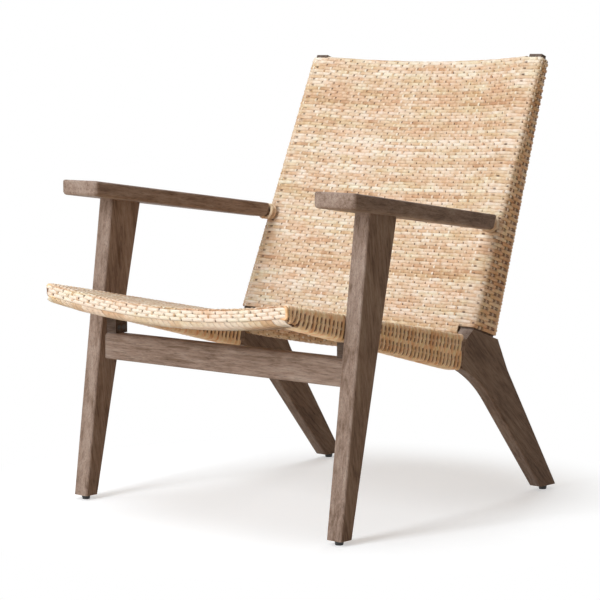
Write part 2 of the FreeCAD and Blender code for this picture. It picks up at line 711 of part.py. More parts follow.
def make_arms():
    """Arms: boards that narrow to the rear, with a round neck and a tenon into the back post."""
    body = new_body("Arm")
    sketch = new_sketch(body, "YZ_Plane", "Sizes.arm_rear_inner")
    rear_low = arm_stop("0")
    rear_high = arm_stop("Sizes.arm_thickness")
    outline(sketch, [
        ("Sizes.arm_front", "Sizes.arm_front_height"),
        (rear_low, arm_under(rear_low)),
        (rear_high, f"{arm_under(rear_high)} + Sizes.arm_thickness"),
        ("Sizes.arm_front", "Sizes.arm_front_height + Sizes.arm_thickness"),
    ])
    outer = "(Sizes.arm_front_inner + Sizes.arm_front_width)"
    rear_outer = "(Sizes.arm_rear_inner + Sizes.arm_rear_width)"
    pad(body, sketch, f"{outer} - Sizes.arm_rear_inner")
    far = f"{rear_high} + Sizes.overrun"
    near = "Sizes.arm_front - Sizes.overrun"
    drift = f"(({outer} - {rear_outer}) / ({rear_high} - Sizes.arm_front) * Sizes.overrun)"
    waste = new_sketch(body, "XY_Plane")
    outline(waste, [
        (f"{outer} + {drift}", near),
        (f"{outer} + Sizes.overrun + {drift}", near),
        (f"{outer} + Sizes.overrun", far),
        (f"{rear_outer} - {drift}", far),
    ])
    cut_through(body, waste)
    slack = f"((Sizes.arm_front_inner - Sizes.arm_rear_inner) / ({rear_high} - Sizes.arm_front) * Sizes.overrun)"
    inner_waste = new_sketch(body, "XY_Plane")
    outline(inner_waste, [
        ("Sizes.arm_rear_inner - Sizes.overrun", near),
        (f"Sizes.arm_front_inner + {slack}", near),
        (f"Sizes.arm_rear_inner - {slack}", far),
        ("Sizes.arm_rear_inner - Sizes.overrun", far),
    ])
    board = cut_through(body, inner_waste)
    front = round_edges(body, board, is_arm_front_corner, "Sizes.arm_corner")
    rear = round_edges(body, front, is_arm_rear_corner, "Sizes.arm_rear_corner")
    lower = round_edges(body, rear, lambda edge: is_arm_rim(edge, False), "Sizes.arm_lower_ease")
    round_edges(body, lower, lambda edge: is_arm_rim(edge, True), "Sizes.arm_upper_ease")
    joined = document.addObject("Part::MultiFuse", "ArmJoined")
    joined.Shapes = [
        body,
        neck_tool("ArmNeck", "neck_radius", NECK_STOP, 0),
        neck_tool("ArmTenon", "tenon_radius", TENON_STOP, 0),
    ]
    arm = drilled(joined, left_ones(arm_bores), "arm_left")
    mirrored(arm, "arm_right")


def is_arm_front_corner(edge):
    """Whether an edge is one of the arm's two upright front corners."""
    return runs_along(edge, UP) and edge.BoundBox.Center.y < size("arm_front") + size("fit")


def is_arm_rear_corner(edge):
    """Whether an edge is the arm's outer rear corner."""
    middle = edge.BoundBox.Center
    outer = middle.x > size("arm_rear_inner") + size("arm_rear_width") / 2
    upright = edge.BoundBox.ZLength > size("arm_thickness") / 2
    return outer and upright and middle.y > sized(arm_stop("0")) - size("fit")


def is_arm_rim(edge, above):
    """Whether an edge belongs to the rim of the arm's top, or of its underside, off its rear end."""
    middle = edge.BoundBox.Center
    level = middle.z - sized(arm_under(str(middle.y))) - size("arm_thickness") / 2
    on_rim = abs(abs(level) - size("arm_thickness") / 2) < size("fit") * 2
    flat = edge.BoundBox.ZLength < edge.BoundBox.DiagonalLength / 2
    off_rear = middle.y < sized(arm_stop("0")) - size("arm_rear_corner") * 2
    return on_rim and flat and off_rear and (level > 0) == above


def make_side_rails():
    """Side rails of the seat, in line with the rear legs and tapering to the front."""
    body = new_body("SeatSideRail")
    weave = "Sizes.seat_weave"
    joint = "Sizes.joint_bottom_depth"
    low = f"({sleeve_bottom(joint)} + {weave})"
    high = f"({seat_top(joint)} - {weave})"
    sketch = new_sketch(body, "YZ_Plane", "Sizes.frame_inner")
    outline(sketch, [
        (weave, f"{sleeve_bottom(weave)} + {weave}"),
        (joint_front(low), low),
        (joint_front(high), high),
        (weave, f"{seat_top(weave)} - {weave}"),
    ])
    pad(body, sketch, "Sizes.frame_thickness")
    bores = left_ones(side_rail_bores + front_rail_bores + seat_bores)
    rail = drilled(body, bores, "seat_side_rail_left")
    mirrored(rail, "seat_side_rail_right")


def make_bowed_rail(name, half, low, thickness, bow, front, depth, bores, label):
    """A rail across the chair that sinks towards its middle."""
    body = new_body(name)
    sketch = new_sketch(body, "XZ_Plane", f"-({front})")
    bowed_outline(sketch, half, low, thickness, bow)
    pad(body, sketch, depth, backwards=True)
    drilled(body, bores, label)


def make_seat_rails():
    """Front and rear rails of the seat."""
    make_bowed_rail(
        "SeatFrontRail", "Sizes.frame_inner", str(FRONT_RAIL_LOW), str(FRONT_RAIL_HEIGHT),
        f"-{FRONT_RAIL_BOW}", "Sizes.seat_weave", str(FRONT_RAIL_DEPTH), front_rail_bores, "seat_front_rail")
    make_bowed_rail(
        "SeatRearRail", "Sizes.frame_inner", str(REAR_RAIL_LOW), "Sizes.rear_rail_height",
        "-Sizes.seat_rear_dip", str(REAR_RAIL_FRONT), "Sizes.rear_rail_depth", rear_rail_bores, "seat_rear_rail")


def make_back_posts():
    """Posts of the back: wedges that stand on the rear legs, thin at the head."""
    wedge = document.addObject("Part::Wedge", "BackPost")
    outer = "Sizes.frame_inner + Sizes.frame_thickness"
    for edge, expression in {
            "Xmin": "Sizes.frame_inner",
            "Xmax": outer,
            "X2min": "Sizes.frame_inner - Sizes.back_lean_in",
            "X2max": f"{outer} - Sizes.back_lean_in",
            "Ymin": "0",
            "Ymax": POST_LENGTH,
            "Zmin": f"-{POST_REAR}",
            "Zmax": "-Sizes.back_weave",
            "Z2min": f"-{POST_REAR}",
            "Z2max": f"-({back_front(POST_LENGTH)} + Sizes.back_weave)"}.items():
        wedge.setExpression(edge, expression)
    quarter_turn = FreeCAD.Rotation(ACROSS, Vector(0, 1, 0).getAngle(UP) * 180 / math.pi)
    wedge.Placement = FreeCAD.Placement(BACK_FRAME.Base, BACK_FRAME.Rotation.multiply(quarter_turn))
    mortise = neck_tool("TenonMortise", "tenon_radius", TENON_STOP, size("fit"))
    bores = left_ones(post_bores + back_rail_bores) + [mortise]
    document.recompute()
    post = drilled(wedge, bores, "back_post_left")
    mirrored(post, "back_post_right")


def make_back_rail(name, half, front, thickness, bow, foot, height, bores, label):
    """A rail of the back that bows away from the sitter."""
    body = document.addObject("PartDesign::Body", name)
    body.Placement = BACK_FRAME
    sketch = new_sketch(body, "XY_Plane", foot)
    bowed_outline(sketch, half, front, thickness, bow)
    pad(body, sketch, height)
    drilled(body, bores, label)


def make_back_rails():
    """Top and bottom rails of the back."""
    make_back_rail("BackTopRail", TOP_RAIL_HALF, TOP_RAIL_FRONT, TOP_RAIL_THICKNESS, "Sizes.top_rail_bow",
                   TOP_RAIL_FOOT, "Sizes.top_rail_height", back_rail_bores, "back_top_rail")
    make_back_rail("BackBottomRail", BOTTOM_RAIL_HALF, BOTTOM_RAIL_FRONT, "Sizes.bottom_rail_thickness",
                   "Sizes.bottom_rail_bow", BOTTOM_RAIL_FOOT, "Sizes.bottom_rail_height",
                   back_rail_bores, "back_bottom_rail")


# Woven cane, as plain solids with the true outer shape

def line(start, end):
    """A straight edge."""
    return Part.LineSegment(start, end).toShape()


def arc(start, middle, end):
    """A round edge through three places."""
    return Part.Arc(start, middle, end).toShape()


def sleeved_panel(outer, brow, inner, face, far, panel, bow, place):
    """Closed outline of a panel with a sleeve at each side, bowed between its brows."""
    back = face + panel + bow * (1 - (inner / brow) ** 2)
    return Part.Wire([
        line(place(-outer, face), place(-brow, face)),
        arc(place(-brow, face), place(0, face + bow), place(brow, face)),
        line(place(brow, face), place(outer, face)),
        line(place(outer, face), place(outer, far)),
        line(place(outer, far), place(inner, far)),
        line(place(inner, far), place(inner, back)),
        arc(place(inner, back), place(0, face + panel + bow), place(-inner, back)),
        line(place(-inner, back), place(-inner, far)),
        line(place(-inner, far), place(-outer, far)),
        line(place(-outer, far), place(-outer, face)),
    ])


def bowed_band(half, face, thickness, bow, place):
    """Closed outline of a bowed band, laid out by a place function."""
    back = face + thickness
    return Part.Wire([
        arc(place(-half, face), place(0, face + bow), place(half, face)),
        line(place(half, face), place(half, back)),
        arc(place(half, back), place(0, back + bow), place(-half, back)),
        line(place(-half, back), place(-half, face)),
    ])


def bar_along(outline_wire, course):
    """A solid bar from an outline and the way it runs."""
    return Part.Face(outline_wire).extrude(course)


def room_for(piece):
    """A piece's space with the soft clearance all round."""
    sharp = 2
    return piece.Shape.makeOffsetShape(size("soft_gap"), size("fit") / size("overrun"), join=sharp)


def both_sides(shape):
    """A left piece's shape and its mirror image."""
    return [shape, shape.mirror(Vector(0, 0, 0), ACROSS)]


def soft_node(name, shape, label):
    """Keep a shape built from Part's functions as a node."""
    feature = document.addObject("Part::Feature", name)
    feature.Shape = shape.removeSplitter()
    return keep(feature, label)


def eased_corner(before, corner, after, radius):
    """An arc of a radius that rounds a corner between its two neighbours."""
    ways = [(end - corner).normalize() for end in (before, after)]
    reach = radius / math.tan(ways[0].getAngle(ways[1]) / 2)
    return arc_to(corner + ways[0] * reach, corner, corner + ways[1] * reach)


def front_roll(outer):
    """Weave round the front rail: a rounded bar, swung on the arc of the seat's dip."""
    dip = size("seat_dip")
    swing = (outer ** 2 + dip ** 2) / (2 * dip)
    high = at(0, 0, size("seat_front_height") - dip)
    low = high - UP * size("roll_height")
    inward = Vector(0, 1, -size("seat_fall_share")) * size("roll_depth")
    lips = [eased_corner(high + inward, high, low, size("roll_round")),
            eased_corner(high, low, low + inward, size("roll_round"))]
    ends = [lip.Vertexes for lip in lips]
    section = Part.Wire([
        line(high + inward, ends[0][0].Point),
        lips[0],
        line(ends[0][1].Point, ends[1][0].Point),
        lips[1],
        line(ends[1][1].Point, low + inward),
        line(low + inward, high + inward),
    ])
    pivot = high + UP * swing
    half_turn = math.degrees(math.asin((outer + size("overrun")) / swing))
    bar = Part.Face(section).rotate(pivot, DEEP, -half_turn).revolve(pivot, DEEP, half_turn * 2)
    long_way = outer * 4
    slab = Part.makeBox(outer * 2, long_way, long_way, Vector(-outer, -long_way / 2, -long_way / 2))
    return bar.common(slab)


def make_woven_seat():
    """Cane woven across the side rails and round the front and rear rails, sinking to the middle."""
    weave = size("seat_weave")
    outer = FRAME_OUTER + weave
    inner = size("frame_inner") - weave
    clear = size("frame_inner") - size("soft_gap") * 2
    sleeve_rear = size("joint_bottom_depth") - size("sleeve_stop")
    deck_rear = REAR_RAIL_FRONT + size("rear_rail_depth") / 2
    sections = []
    for depth in (size("roll_depth") / 2, deck_rear):
        dip = between(size("seat_dip"), size("seat_rear_dip"), depth / deck_rear)
        sections.append(sleeved_panel(
            outer, FRAME_OUTER, inner, sized(seat_top(str(depth))) - size("deck_drop"),
            sized(sleeve_bottom(str(depth))), size("deck_drop") - weave, -dip,
            lambda across, up: at(across, depth, up)))
    rear_roll = bar_along(bowed_band(
        clear, REAR_RAIL_TOP + weave, -size("rear_rail_height") - weave * 2, -size("seat_rear_dip"),
        lambda across, up: at(across, REAR_RAIL_FRONT - weave, up)),
        Vector(0, size("rear_rail_depth") + weave * 2, 0))
    sleeve_end = Part.makeBox(
        outer - inner + weave, deck_rear, size("seat_front_height"), at(inner, sleeve_rear, 0))
    woven = Part.makeLoft(sections, True, True).cut(both_sides(sleeve_end))
    woven = woven.fuse([front_roll(outer), rear_roll])
    rails = [document.getObject(name) for name in ("SeatFrontRail", "SeatRearRail")]
    hollows = [room_for(rail) for rail in rails]
    hollows += both_sides(room_for(document.getObject("SeatSideRail")))
    hollows += both_sides(room_for(document.getObject("RearLeg")))
    hollows += [bore.Shape for bore in seat_bores + rear_rail_bores]
    soft_node("WovenSeat", woven.cut(hollows), "woven_seat")


def make_woven_back():
    """Cane woven between the posts, wrapped round them and round the top and bottom rails."""
    weave = size("back_weave")
    inner = size("frame_inner") - weave
    sections = []
    for along in (size("soft_gap"), size("back_length")):
        lean = sized(post_lean(str(along)))
        bow = between(size("bottom_rail_bow"), size("top_rail_bow"), along / size("back_length"))
        sections.append(sleeved_panel(
            FRAME_OUTER + weave - lean, inner - lean, inner - lean, sized(back_front(str(along))),
            size("back_foot_thickness"), size("back_panel"), bow,
            lambda across, inward: back_point(across, inward, along)))
    woven = Part.makeLoft(sections, True, True)
    rise = BACK_FRAME.Rotation.multVec(UP)
    gap = size("soft_gap")
    rolls = []
    hollows = []
    for half, front, thickness, bow, foot, head in (
            (TOP_RAIL_HALF, TOP_RAIL_FRONT, TOP_RAIL_THICKNESS, "top_rail_bow", TOP_RAIL_FOOT, TOP_RAIL_HEAD),
            (BOTTOM_RAIL_HALF, BOTTOM_RAIL_FRONT, "Sizes.bottom_rail_thickness", "bottom_rail_bow",
             BOTTOM_RAIL_FOOT, BOTTOM_RAIL_HEAD)):
        for swell, bars in ((weave, rolls), (gap, hollows)):
            start = sized(foot) - swell
            band = bowed_band(
                sized(half) + gap, sized(front) - swell, sized(thickness) + swell * 2, size(bow),
                lambda across, inward: back_point(across, inward, start))
            bars.append(bar_along(band, rise * (sized(head) + swell - start)))
    woven = woven.fuse(rolls)
    hollows += both_sides(room_for(document.getObject("BackPost")))
    for radius, stop in (("neck_radius", NECK_STOP), ("tenon_radius", TENON_STOP)):
        tool = neck_tool("WeaveOpening", radius, stop, size("soft_gap"))
        document.recompute()
        hollows += both_sides(tool.Shape)
    soft_node("WovenBack", woven.cut(hollows), "woven_back")


# Cane collars, wound round the arm necks

def arc_to(start, handle, end):
    """The arc between two places whose end tangents meet at the handle."""
    middle = (start + end) / 2
    half = (end - start).Length / 2
    lift = half * math.tan(math.acos(half / (handle - start).Length) / 2)
    return arc(start, middle + (handle - middle).normalize() * lift, end)


def biarc(start, start_course, end, end_course):
    """Two arcs that join two places and leave each along its course."""
    span = end - start
    turn = 1 - start_course.dot(end_course)
    pull = span.dot(start_course + end_course)
    reach = (-pull + math.sqrt(pull ** 2 + 2 * turn * span.dot(span))) / (2 * turn)
    first = start + start_course * reach
    last = end - end_course * reach
    joint = (first + last) / 2
    return [arc_to(start, first, joint), arc_to(joint, last, end)]


def make_collars():
    """Round cane wound round each arm neck, its turns parallel to the woven back."""
    cane = size("collar_cane")
    radius = size("neck_radius") + cane / 2 + size("collar_gap")
    upward = Vector(0, sized(LEAN_SHARE), 1).normalize()
    first_room = sized(f"{COLLAR_LENGTH} - {COLLAR_SLACK} / 2 - Sizes.collar_cane / 2")
    last_room = sized(f"{COLLAR_SLACK} / 2 + Sizes.collar_cane / 2")
    first, last = [sized(arm_stop(NECK_RISE, str(room))) for room in (first_room, last_room)]
    first_middle = at(size("neck_across"), first, arm_axis(first))
    last_middle = at(size("neck_across"), last, arm_axis(last))
    half_turns = round(COLLAR_TURNS * 2)

    def station(number):
        """Place and course of the cane after a number of half turns, from under the neck."""
        angle = math.pi * (number - 1 / 2)
        step = (last_middle - first_middle) / half_turns
        spoke = ACROSS * math.cos(angle) + upward * math.sin(angle)
        sweep = upward * math.cos(angle) - ACROSS * math.sin(angle)
        course = (sweep * radius * math.pi + step).normalize()
        return first_middle + step * number + spoke * radius, course

    stations = [station(number) for number in range(half_turns + 1)]
    start, start_course = stations[0]
    end, end_course = stations[-1]
    edges = [line(start - start_course * cane, start)]
    for (spot, course), (next_spot, next_course) in zip(stations, stations[1:]):
        edges += biarc(spot, course, next_spot, next_course)
    edges.append(line(end, end + end_course * cane))
    path = Part.Wire(edges)
    profile = Part.Wire([Part.Circle(edges[0].Vertexes[0].Point, start_course, cane / 2).toShape()])
    print_self_gap(path, cane)
    collar = soft_node("ArmCollar", path.makePipeShell([profile], True, False), "arm_collar_left")
    mirrored(collar, "arm_collar_right")


def print_self_gap(path, cane):
    """Measure the least gap between turns on points of the path, and print it."""
    points = path.discretize(Number=60 * round(COLLAR_TURNS * 2))
    spacing = path.Length / (len(points) - 1)
    apart = math.ceil(cane * math.pi / spacing)
    gap = min((points[low] - points[high]).Length
              for low in range(len(points)) for high in range(low + apart, len(points))) - cane
    print(f"arm collar: least gap between turns {gap:.2f} mm")


# Build every piece, check it and write it out

nail_bores = make_glides()
block_bores = make_block_screws()
make_front_legs(nail_bores, block_bores)
make_rear_legs(nail_bores)
make_front_stretcher()
make_seat_blocks(block_bores)
make_arms()
make_side_rails()
make_seat_rails()
make_back_posts()
make_back_rails()
make_woven_seat()
make_woven_back()
make_collars()
for group, label in (
        (arm_dowels, "arm_dowels"),
        (stretcher_dowels, "stretcher_dowels"),
        (seat_dowels, "seat_dowels"),
        (side_rail_dowels, "side_rail_dowels"),
        (front_rail_dowels, "front_rail_dowels"),
        (rear_rail_dowels, "rear_rail_dowels"),
        (post_dowels, "post_dowels"),
        (back_rail_dowels, "back_rail_dowels")):
    keep(together(group, label), label)
document.recompute()

for piece in document.Objects:
    if "Invalid" in piece.State or "Error" in piece.State:
        raise RuntimeError(f"{piece.Label} did not build: {piece.State}")
os.makedirs("parts", exist_ok=True)
for node in nodes:
    if node.Shape.isNull() or not node.Shape.isValid() or not node.Shape.Solids:
        raise RuntimeError(f"{node.Label} has no valid solid")
    node.Shape.exportStep(f"parts/{node.Label}.step")
print(f"{len(nodes)} nodes written")
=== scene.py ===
"""Woven lounge chair: cane strands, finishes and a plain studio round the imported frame.

Lengths are in metres. X runs across the chair, Z up from the floor, and the chair faces -Y.
Depths are given back from the seat's front edge. Left and right are the sitter's.
"""
import math

import bpy
import numpy as np
from bpy.props import FloatProperty, FloatVectorProperty, IntProperty, PointerProperty
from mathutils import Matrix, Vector


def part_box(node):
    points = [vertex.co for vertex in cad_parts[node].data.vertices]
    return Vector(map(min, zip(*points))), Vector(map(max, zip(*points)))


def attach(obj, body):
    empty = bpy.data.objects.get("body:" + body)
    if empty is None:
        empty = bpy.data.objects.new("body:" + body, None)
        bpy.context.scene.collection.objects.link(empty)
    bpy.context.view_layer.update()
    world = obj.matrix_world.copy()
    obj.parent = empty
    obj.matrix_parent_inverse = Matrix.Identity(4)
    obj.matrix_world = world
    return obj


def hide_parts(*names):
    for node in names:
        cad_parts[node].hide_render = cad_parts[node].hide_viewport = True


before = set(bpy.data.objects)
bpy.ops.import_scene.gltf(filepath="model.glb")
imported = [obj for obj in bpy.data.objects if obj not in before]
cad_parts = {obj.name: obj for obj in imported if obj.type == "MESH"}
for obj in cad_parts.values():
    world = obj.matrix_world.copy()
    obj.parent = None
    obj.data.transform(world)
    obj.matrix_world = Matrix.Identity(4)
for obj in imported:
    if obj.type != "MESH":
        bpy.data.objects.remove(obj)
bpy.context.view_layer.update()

bl_info = {
    "name": "Woven lounge chair",
    "version": (1, 0, 0),
    "blender": (4, 5, 0),
    "location": "3D View > Sidebar > Chair",
    "description": "Weaves the cane of a lounge chair and finishes its wood",
    "category": "Object",
}

# Sign of X on each side
SIDES = ((1, "left"), (-1, "right"))

# Lines of the woven seat
SEAT_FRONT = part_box("woven_seat")[0].y
SEAT_HEIGHT = 0.389
SEAT_FALL = 0.1917
SEAT_HALF = 0.274
SEAT_EASE = 0.005
DECK_HALF = 0.267
DECK_EDGE = 0.262
DECK_END = 0.477
DIP_FRONT = 0.021
DIP_REAR = 0.009
SLEEVE_HEIGHT = 0.357
SLEEVE_FALL = 0.254
SLEEVE_INNER = 0.234
SLEEVE_END = 0.4495
ROLL_DEPTH = 0.034
ROLL_ROUND = 0.019
REAR_ROLL_END = 0.495
REAR_ROLL_FRONT = 0.459
REAR_ROLL_LOW = 0.2687
REAR_ROLL_HEIGHT = 0.027
REAR_HALF = 0.2385

# Rows and stakes of the seat
FRONT_ROWS = 4
FRONT_ROW_RISE = 0.0145
TIP_EASE = 0.004
TIP_TUCK = 0.012
ROLL_END_GAP = 0.001
FRONT_ROLL_SPREAD = 0.03
REAR_ROLL_GIRTH = 0.9
SEAT_STAKES = 21
STAKE_CHANGE = 0.163
FRONT_SIDE_SHARES = (0.57,)
REAR_SIDE_SHARES = (0.30, 0.75)
SIDE_STAKE_LIFT = 0.6
SIDE_STAKE_GAP = 0.003
STAKE_CLEAR = 0.001

# Loops of the seat's rows round its side rails
LOOP_FACING = 0.8
LOOP_DROP = 0.036
LOOP_TIP = 0.010
LOOP_TURN = 0.012
LOOP_PAST = 0.035
LOOP_SLANT = 0.2
LOOP_SWEEP = 12.0
SWEEP_START = 0.012
SWEEP_REACH = 0.03
SWEEP_ROOM = 0.010
FIRST_LOOPS = 2

# Flat strips under the front roll
WRAP_INSET = 0.0025
WRAP_RISE = 0.026
WRAP_EASE = 0.010
WRAP_SPACING = 0.003
WRAP_SLANT = 0.75
WRAP_WIDTH = 1.06
WRAP_THICKNESS = 0.0010
WRAP_PAST = 0.004
WRAP_START = 0.006
WRAP_STOP = 0.016
WRAP_END_GAP = 0.002
WRAP_EXTRA = 4
WRAP_FEWEST_POINTS = 4

# Lines of the woven back, from its front foot
FOOT_DEPTH = 0.4835
FOOT_HEIGHT = 0.309955
RAKE = math.radians(18.0)
BACK_LENGTH = 0.505
BACK_TAPER = 0.0448 / BACK_LENGTH
BACK_REAR = 0.0665
BACK_HALF = 0.271
BACK_EASE = 0.004
PANEL_HALF = 0.237
PANEL_THICKNESS = 0.006
LEAN_IN = 0.006 / 0.508
BOW_FOOT = 0.008
BOW_HEAD = 0.030
FOOT_ROLL_LOW = -0.0092
FOOT_ROLL_HEAD = 0.0263
FOOT_ROLL_DEPTH = 0.026
HEAD_ROLL_LOW = 0.477
HEAD_DROP = 0.002
REAR_FLARE = 0.002

# Rows and stakes of the back
BACK_STAKES = 19
BACK_FACING = -0.6
BACK_ROW_LOW = 0.002
BACK_SIDE_SHARES = (0.22, 0.64)
POST_STAKE = 0.262
POST_ROUND_SHARE = 0.5
POST_TURN = 0.008
POST_PAST = 0.03
HEAD_FACING = 0.3
HEAD_WAVE = 0.2
FOOT_ROLL_REACH = 0.1

# Neck of the arm, and the cane wound round it
NECK_ACROSS = 0.256
NECK_RADIUS = 0.008
NECK_CLEAR = 0.0006
ARM_HEIGHT = 0.534
ARM_FRONT = 0.092
ARM_FALL = 0.13
NECK_RISE = 0.01125
BACK_LEAN = 0.426
COLLAR_TURNS = 2.5
COLLAR_POINTS = 28
COLLAR_SIDES = 12
COLLAR_START = 0.02425
COLLAR_STOP = 0.00525

# How far the middle of the cane lies inside the woven faces, and how much further where it is rounder
SEAT_INSET = 0.0004
BACK_INSET = 0.0002
ROUND_INSET = 0.0013

# Form of the rows: spread over a stake, ease at a turn, narrowing and rounding on a loop
ROW_SPREAD = 0.15
TURN_EASE = 0.0025
LOOP_NARROWING = 0.04
SEAT_PLUMP = 1.2
BACK_PLUMP = 0.9

# Form of the stakes: how far one rises over a row, in lifts of a row, its thinness and its sides
STAKE_LIFT = 1.8
STAKE_THINNESS = 0.9
STAKE_SIDES = 6

# Place round a strand where the painted crevice shade is darkest
SHADE_SPOT_SIDE = 0.14

# Steps of fine lines, points of a row between stakes and over a panel, and where a strand's outside lies
FINE = 0.0005
STAKE_POINTS = 4
PANEL_POINTS = 60
FLAT_POINTS = 80
OUTSIDE = 0.0018

# First numbers of the strands, which their colours are drawn by, and how far off a side's numbers lie
WRAP_STRANDS = 150
SEAT_STAKE_STRANDS = 200
SEAT_SIDE_STRANDS = 300
BACK_STRANDS = 400
BACK_STAKE_STRANDS = 600
POST_STRANDS = 700
COLLAR_STRANDS = 900
SIDE_APART = 10

# How much paler or browner than the rest some strands are; some of these are painted light or painted shade
# Loops round the side rails painted paler: painted light on the shaded sides
LOOP_PAINTED_LIGHT = 0.18
FIRST_LOOP_TONE = -0.3
FRONT_ROLL_TONE = 0.5
# Rear roll, under the back of the seat, painted darker: painted shade
REAR_ROLL_SHADE = -0.15
WRAP_TONE = 0.12
# Stakes painted paler: a painted highlight on the ticks
STAKE_HIGHLIGHT = 0.07
# Stakes along the seat's sides painted darker: painted shade
SIDE_STAKE_SHADE = -0.15
# Stakes on the posts painted paler: a painted highlight on the ticks
POST_STAKE_HIGHLIGHT = 0.12
# Bottom roll of the back, in the crevice above the seat, painted darker: painted shade
FOOT_ROLL_SHADE = -0.25

# Tone of the cane: shares of what makes it up, spread of the strands in the noise, level of the stakes,
# which is a painted highlight on their ticks
DRIFT_SHARE = 1.9
DRIFT_BASE = -0.85
TINT_SHARE = 0.45
FLECK_SHARE = 0.75
PATCH_SHARE = 0.42
STRANDS_APART = 917.0
STAKE_HIGHLIGHT_LEVEL = 1.02

# White, the painted shade of a deep crevice, and the painted light that the loops add to white
WHITE = (1.0, 1.0, 1.0)
SHADE_IN_CREVICE = (0.13, 0.07, 0.04)
# Painted light: a warmer, brighter colour on the loops round the rails and posts
LOOP_LIGHT_TINT = (0.33, 0.24, 0.10)

# Floor, lamps and camera of the studio
FLOOR_SEEN = (0.74, 0.74, 0.75)
FLOOR_REACH = 6.0
FLOOR_FADE = (0.36, 0.66)
LAMP_AIM = Vector((0.0, 0.0, 0.4))
CAMERA_PLACE = Vector((2.5755, -2.9414, 0.7511))
CAMERA_AIM = Vector((0.0, -0.0265, 0.3526))
CAMERA_LENS = 135.2
CAMERA_SENSOR = 36.0
CAMERA_REACH = 50.0

# Grain drawn out along one axis
GRAIN_X = (1.0, 14.0, 14.0)
GRAIN_Y = (14.0, 1.0, 14.0)
GRAIN_Z = (14.0, 14.0, 1.0)

# Finishes of the wood: name, turn of the grain in degrees, its run, level its colours are scaled by, nodes;
# the blocks' low level is painted shade
WOOD = (
    ("Stained legs", -7.0, GRAIN_Z, 1.0, ("front_leg_left", "front_leg_right")),
    ("Stained rear legs", -48.0, GRAIN_Z, 0.84, ("rear_leg_left", "rear_leg_right")),
    ("Stained arms", 7.4, GRAIN_Y, 1.0, ("arm_left", "arm_right")),
    ("Stained rails", 0.0, GRAIN_Y, 1.0, ("seat_side_rail_left", "seat_side_rail_right")),
    ("Stained cross rails", 0.0, GRAIN_X, 1.0,
     ("front_stretcher", "seat_front_rail", "seat_rear_rail", "back_top_rail", "back_bottom_rail")),
    # The blocks, in the shade under the seat, painted darker: painted shade
    ("Blocks in painted shade", 0.0, GRAIN_X, 0.4, ("seat_block_left", "seat_block_right")),
    ("Stained posts", 20.0, GRAIN_Z, 0.5, ("back_post_left", "back_post_right")))


# Settings

def length(name, description, default, least=0.0):
    """Setting for a length."""
    return FloatProperty(
        name=name, description=description, default=default, min=least, subtype="DISTANCE", unit="LENGTH")


def tone(name, description, default):
    """Setting for a colour."""
    return FloatVectorProperty(
        name=name, description=description, default=default, min=0.0, max=1.0, subtype="COLOR")


def power(name, description, default):
    """Setting for the power of a lamp."""
    return FloatProperty(
        name=name, description=description, default=default, min=0.0, subtype="POWER", unit="POWER")


class ChairWeave(bpy.types.PropertyGroup):
    """Sizes of the cane and of the weave"""

    row_pitch: length("Row pitch", "Distance between the strands that run across", 0.00595, 0.003)
    seat_pitch: length("Seat pitch", "Distance between the strands that run across the seat", 0.0050, 0.003)
    stake_pitch: length(
        "Stake pitch", "Distance between the stakes that the rows pass over and under", 0.01265, 0.006)
    row_width: length("Row width", "Width of a flat strand in a row", 0.0065, 0.002)
    stake_width: length("Stake width", "Width of a stake", 0.0046, 0.002)
    thickness: length("Cane thickness", "Thickness of the cane", 0.0025, 0.0005)
    lift: length("Lift", "How far a row rises over a stake", 0.0006)
    uneven: length("Unevenness", "How far strands wander from their line", 0.0008)
    collar_cane: length(
        "Collar cane", "Thickness of the round cane wound round the arm necks", 0.007, 0.002)
    seed: IntProperty(name="Seed", description="Choice of strand colours", default=7, min=0)


class ChairColours(bpy.types.PropertyGroup):
    """Colours of the cane, the wood and the small parts"""

    cane_pale: tone("Pale cane", "Palest stretches of a strand", (0.84, 0.72, 0.60))
    cane_cream: tone("Cream cane", "Most of the cane", (0.73, 0.54, 0.375))
    cane_peach: tone("Peach cane", "Warmer stretches of a strand", (0.65, 0.425, 0.262))
    cane_tan: tone("Tan cane", "Darkest stretches of a strand", (0.50, 0.285, 0.152))
    wood_light: tone("Stain", "Stained wood between the grain lines", (0.286, 0.203, 0.162))
    wood_dark: tone("Stain in the grain", "Stained wood in the grain lines", (0.155, 0.099, 0.069))
    # Paler stain, also used for the painted highlight on the worn edges
    wood_worn_and_highlight: tone("Worn stain", "Paler stain where the wood is rubbed", (0.385, 0.297, 0.246))
    glide: tone("Glide", "Moulded glides under the feet", (0.02, 0.02, 0.02))


class ChairStage(bpy.types.PropertyGroup):
    """Light and floor of the studio"""

    key_power: power("Key light", "Power of the large lamp at the front", 128.0)
    lamp_tone: tone("Lamp tone", "Colour of the lamps", (0.88, 0.95, 1.0))
    top_power: power("Top light", "Power of the large lamp overhead", 48.0)
    rear_power: power("Rear light", "Power of the large lamp behind", 45.0)
    ambient: FloatProperty(
        name="Ambient", description="Level of the light from all round", default=0.19, min=0.0)
    ambient_tone: tone("Ambient tone", "Colour of the light from all round", (1.0, 0.77, 0.54))
    floor: tone("Floor", "Colour of the floor", (0.62, 0.50, 0.37))
    floor_white: FloatProperty(
        name="White floor", description="Brightness that makes the floor read as white",
        default=0.42, min=0.0, max=1.0)


# Node trees

